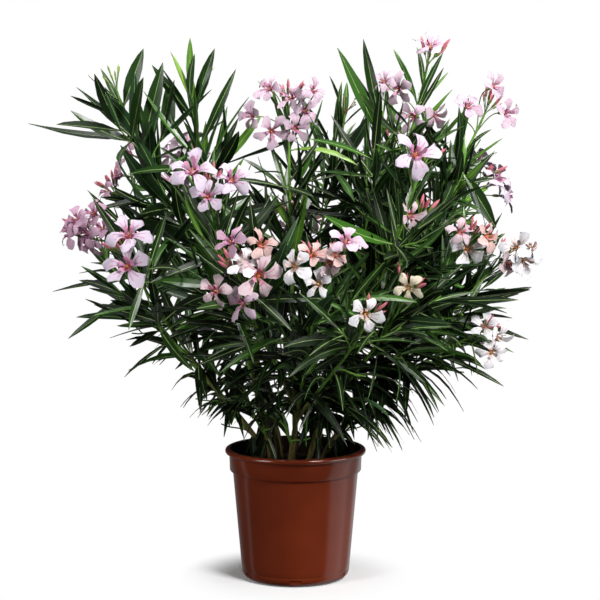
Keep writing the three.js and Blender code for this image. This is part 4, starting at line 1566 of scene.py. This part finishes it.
soil = {
    "relief": 4.0,
    "lump": 22,
    "smallLump": 6,
    "dip": 4,
    "gap": 0.4,  # between the filling and the pot
    "edgeTop": 178,  # where the filling stops following the wall
    "rings": 30,
    "segments": 96,
    "sharp": 60,
}
# Inputs of the crumbs' node tree: number to the square metre, radius in metres, and the range of their sizes.
crumbs = {"Density": 26000.0, "Grain Radius": 0.0016, "Seed": 5, "Smallest": 0.5, "Largest": 1.6}


def makeSoilBed():
    foot, shoulder, top = pot["footRadius"], pot["shoulderRadius"], soil["edgeTop"]
    low, high = pot["cornerRadius"] - 2, pot["height"] - pot["collarDepth"]
    inner = lambda z: lerp(foot, shoulder, (z - low) / (high - low)) - pot["wall"] - soil["gap"]
    under, edge, count = pot["floor"] + soil["gap"], inner(top), soil["rings"]
    bottom = [(0, under), (foot - pot["cornerRadius"] - 1, under), (inner(low) - 0.6, low + 1)]
    rings = [(edge * i / count, soilTop) for i in range(count - 1, 0, -1)]
    profile = [*bottom, (edge, top), (edge, soilTop - 3), *rings]

    def ripple(r, z, angle):
        if z < soilTop - 1:
            return 0
        spot = Vector((r * math.cos(angle), r * math.sin(angle), 0))
        lumps = noise.noise(spot / soil["lump"]) + 0.4 * noise.noise(spot / soil["smallLump"])
        return soil["relief"] * lumps - soil["dip"] * (r / edge) ** 6

    points, faces = turnedMesh([*profile, (0, soilTop)], soil["segments"], ripple)
    heap = Heap()
    heap.add(points, faces, 0)
    mesh = heap.mesh("soil_bed", [makeSoil("potting_mix", "#120c09", "#3a2a20")], soil["sharp"])
    place("soil_bed", mesh, ["soil"])
    return mesh


def crumbTree(material):
    # Crumbs over the upward faces, from named inputs for the density, the size and the seed.
    tree = bpy.data.node_groups.new("crumbs", "GeometryNodeTree")
    panel = tree.interface
    panel.new_socket("Geometry", in_out="INPUT", socket_type="NodeSocketGeometry")
    sockets = {
        name: panel.new_socket(name, in_out="INPUT", socket_type=kind).identifier
        for name, kind in (
            ("Density", "NodeSocketFloat"),
            ("Grain Radius", "NodeSocketFloat"),
            ("Seed", "NodeSocketInt"),
            ("Smallest", "NodeSocketFloat"),
            ("Largest", "NodeSocketFloat"),
        )
    }
    panel.new_socket("Geometry", in_out="OUTPUT", socket_type="NodeSocketGeometry")
    given = addNode(tree, "NodeGroupInput").outputs
    normal = addNode(tree, "GeometryNodeInputNormal")
    upward = addNode(tree, "ShaderNodeSeparateXYZ", links={"Vector": normal.outputs["Normal"]})
    isTop = addNode(
        tree,
        "FunctionNodeCompare",
        {"data_type": "FLOAT", "operation": "GREATER_THAN"},
        {"B": 0.6},
        {"A": upward.outputs["Z"]},
    )
    scattered = addNode(
        tree,
        "GeometryNodeDistributePointsOnFaces",
        links={
            "Mesh": given["Geometry"],
            "Selection": isTop.outputs["Result"],
            "Density": given["Density"],
            "Seed": given["Seed"],
        },
    )
    ball = addNode(
        tree, "GeometryNodeMeshIcoSphere", values={"Subdivisions": 1}, links={"Radius": given["Grain Radius"]}
    )
    size = addNode(
        tree,
        "FunctionNodeRandomValue",
        {"data_type": "FLOAT"},
        links={"Min": given["Smallest"], "Max": given["Largest"], "Seed": given["Seed"]},
    )
    shape = addNode(
        tree,
        "FunctionNodeRandomValue",
        {"data_type": "FLOAT_VECTOR"},
        {"Min": (0.6, 0.5, 0.35), "Max": (1.7, 1.0, 0.8)},
        {"Seed": given["Seed"]},
    )
    scale = addNode(
        tree,
        "ShaderNodeVectorMath",
        {"operation": "SCALE"},
        links={"Vector": shape.outputs["Value"], "Scale": size.outputs["Value"]},
    )
    turn = addNode(
        tree,
        "FunctionNodeRandomValue",
        {"data_type": "FLOAT_VECTOR"},
        {"Min": (0, 0, 0), "Max": (0.8, 0.8, 6.3)},
        {"Seed": given["Seed"]},
    )
    laid = addNode(
        tree,
        "GeometryNodeInstanceOnPoints",
        links={
            "Points": scattered.outputs["Points"],
            "Instance": ball.outputs["Mesh"],
            "Rotation": turn.outputs["Value"],
            "Scale": scale.outputs["Vector"],
        },
    )
    real = addNode(tree, "GeometryNodeRealizeInstances", links={"Geometry": laid.outputs["Instances"]})
    shown = addNode(
        tree,
        "GeometryNodeSetMaterial",
        values={"Material": material},
        links={"Geometry": real.outputs["Geometry"]},
    )
    addNode(tree, "NodeGroupOutput", links={"Geometry": shown.outputs["Geometry"]})
    return tree, sockets


def makeCrumbs(bed):
    tree, sockets = crumbTree(makeSoil("soil_crumbs", "#1c130e", "#4a382b"))
    inputs = {sockets[name]: value for name, value in crumbs.items()}
    place("soil_crumbs", baked("soil_crumbs", bed, "NODES", {"node_group": tree}, inputs))


makeCrumbs(makeSoilBed())
print("soil made")


stage = {
    "radius": 14,
    "near": 0.1,
    "far": 0.21,
    "ambient": 0.022,
    "bounce": 0.06,
    # Share of the turn, from behind over the left, and brightness of the painted reflections that the floor
    # shows to glossy rays.
    "glow": (
        (0, 0.3),
        (0.1, 0.12),
        (0.14, 0.05),
        (0.185, 0.06),
        (0.198, 0.3),
        (0.212, 0.34),
        (0.222, 0.03),
        (0.5, 0.02),
        (0.685, 0.04),
        (0.7, 0.65),
        (0.8, 0.85),
        (0.83, 0.4),
        (0.87, 0.25),
        (0.92, 0.6),
        (1, 0.4),
    ),
}


def studioGlow(tree):
    # Painted reflections: what a glossy surface mirrors of the floor, by bearing, is a glow as of a broad
    # pale wall at the right and a narrow one at the left.
    geometry = addNode(tree, "ShaderNodeNewGeometry")
    away = addNode(tree, "ShaderNodeSeparateXYZ", links={"Vector": geometry.outputs["Incoming"]})
    toCamera = addNode(tree, "ShaderNodeMath", {"operation": "MULTIPLY"}, links={0: away.outputs["X"]})
    toCamera.inputs[1].default_value = -1
    bearing = addNode(
        tree,
        "ShaderNodeMath",
        {"operation": "ARCTAN2"},
        links={0: toCamera.outputs["Value"], 1: away.outputs["Y"]},
    )
    share = addNode(
        tree,
        "ShaderNodeMapRange",
        values={"From Min": -math.pi, "From Max": math.pi},
        links={"Value": bearing.outputs["Value"]},
    )
    ramp = addNode(tree, "ShaderNodeValToRGB", links={"Fac": share.outputs["Result"]})
    stops = ramp.color_ramp.elements
    for at, glow in stage["glow"][1:-1]:
        stops.new(at)
    for stop, (at, glow) in zip(stops, stage["glow"]):
        stop.position = at
        stop.color = (glow, glow, glow, 1)
    return ramp.outputs["Color"]


def makeStage():
    mesh = bpy.data.meshes.new("floor")
    r = stage["radius"]
    mesh.from_pydata([(-r, -r, 0), (r, -r, 0), (r, r, 0), (-r, r, 0)], [], [(0, 1, 2, 3)])
    shown("floor", mesh)
    material = bpy.data.materials.new("pale_floor")
    material.use_nodes = True
    tree = material.node_tree
    tree.nodes.clear()
    spot = addNode(tree, "ShaderNodeTexCoord")
    away = addNode(
        tree, "ShaderNodeVectorMath", {"operation": "LENGTH"}, links={"Vector": spot.outputs["Object"]}
    )
    fade = addNode(
        tree,
        "ShaderNodeMapRange",
        {"interpolation_type": "SMOOTHSTEP"},
        {"From Min": stage["near"], "From Max": stage["far"]},
        {"Value": away.outputs["Value"]},
    )
    matt = addNode(tree, "ShaderNodeBsdfDiffuse", values={"Color": (0.9, 0.9, 0.9, 1)})
    glow = addNode(tree, "ShaderNodeEmission", values={"Color": (1, 1, 1, 1), "Strength": 1.0})
    mixed = addNode(tree, "ShaderNodeMixShader", links={"Fac": fade.outputs["Result"]})
    tree.links.new(matt.outputs["BSDF"], mixed.inputs[1])
    tree.links.new(glow.outputs["Emission"], mixed.inputs[2])
    # The floor looks pale but throws little light back up, and shows glossy surfaces painted reflections of
    # pale walls.
    path = addNode(tree, "ShaderNodeLightPath")
    grey = addNode(tree, "ShaderNodeBsdfDiffuse", values={"Color": (stage["bounce"],) * 3 + (1,)})
    shine = addNode(tree, "ShaderNodeEmission", links={"Color": studioGlow(tree)})
    mirrored = addNode(tree, "ShaderNodeMixShader", links={"Fac": path.outputs["Is Glossy Ray"]})
    tree.links.new(grey.outputs["BSDF"], mirrored.inputs[1])
    tree.links.new(shine.outputs["Emission"], mirrored.inputs[2])
    seen = addNode(tree, "ShaderNodeMixShader", links={"Fac": path.outputs["Is Camera Ray"]})
    tree.links.new(mirrored.outputs["Shader"], seen.inputs[1])
    tree.links.new(mixed.outputs["Shader"], seen.inputs[2])
    addNode(tree, "ShaderNodeOutputMaterial", links={"Surface": seen.outputs["Shader"]})
    mesh.materials.append(material)


def makeWorld():
    # White to the camera, dimmer as a light.
    world = bpy.data.worlds.new("studio")
    bpy.context.scene.world = world
    world.use_nodes = True
    tree = world.node_tree
    tree.nodes.clear()
    path = addNode(tree, "ShaderNodeLightPath")
    strength = addNode(
        tree,
        "ShaderNodeMapRange",
        values={"To Min": stage["ambient"], "To Max": 1.0},
        links={"Value": path.outputs["Is Camera Ray"]},
    )
    sky = addNode(
        tree,
        "ShaderNodeBackground",
        values={"Color": (1, 1, 1, 1)},
        links={"Strength": strength.outputs["Result"]},
    )
    addNode(tree, "ShaderNodeOutputWorld", links={"Surface": sky.outputs["Background"]})


# Place, height aimed at, width and height in metres, and watts. The low ones graze the pot.
lights = {
    "key": ((1.6, -2.0, 2.3), 0.5, (0.9, 0.9), 128),
    "fill": ((-2.2, -1.8, 1.4), 0.5, (0.9, 1.6), 36),
    "top": ((0, 0.3, 3.0), 0.5, (1.4, 1.4), 80),
    "lowRight": ((1.5, -0.5, 0.26), 0.06, (0.9, 0.4), 8.5),
    "lowLeft": ((-1.3, -0.9, 0.26), 0.06, (0.6, 0.4), 4.5),
}


def softLight(name, spot, aim, size, power):
    data = bpy.data.lights.new(name, "AREA")
    data.shape = "RECTANGLE"
    data.size, data.size_y = size
    data.energy = power
    lamp = shown(name, data)
    lamp.location = spot
    lamp.rotation_euler = (Vector((0, 0, aim)) - Vector(spot)).to_track_quat("-Z", "Y").to_euler()
    lamp.visible_camera = False


view = {"place": (0.0077, -3.0, 0.776), "tilt": 84.26, "lens": 106.9, "sensor": 36}


def makeCamera():
    data = bpy.data.cameras.new("camera")
    data.sensor_width = view["sensor"]
    data.lens = view["lens"]
    camera = shown("camera", data)
    camera.location = view["place"]
    camera.rotation_euler = (math.radians(view["tilt"]), 0, 0)
    bpy.context.scene.camera = camera


makeStage()
makeWorld()
for name, light in lights.items():
    softLight(name, *light)
makeCamera()
bpy.context.scene.view_settings.view_transform = "Standard"
print("stage made")
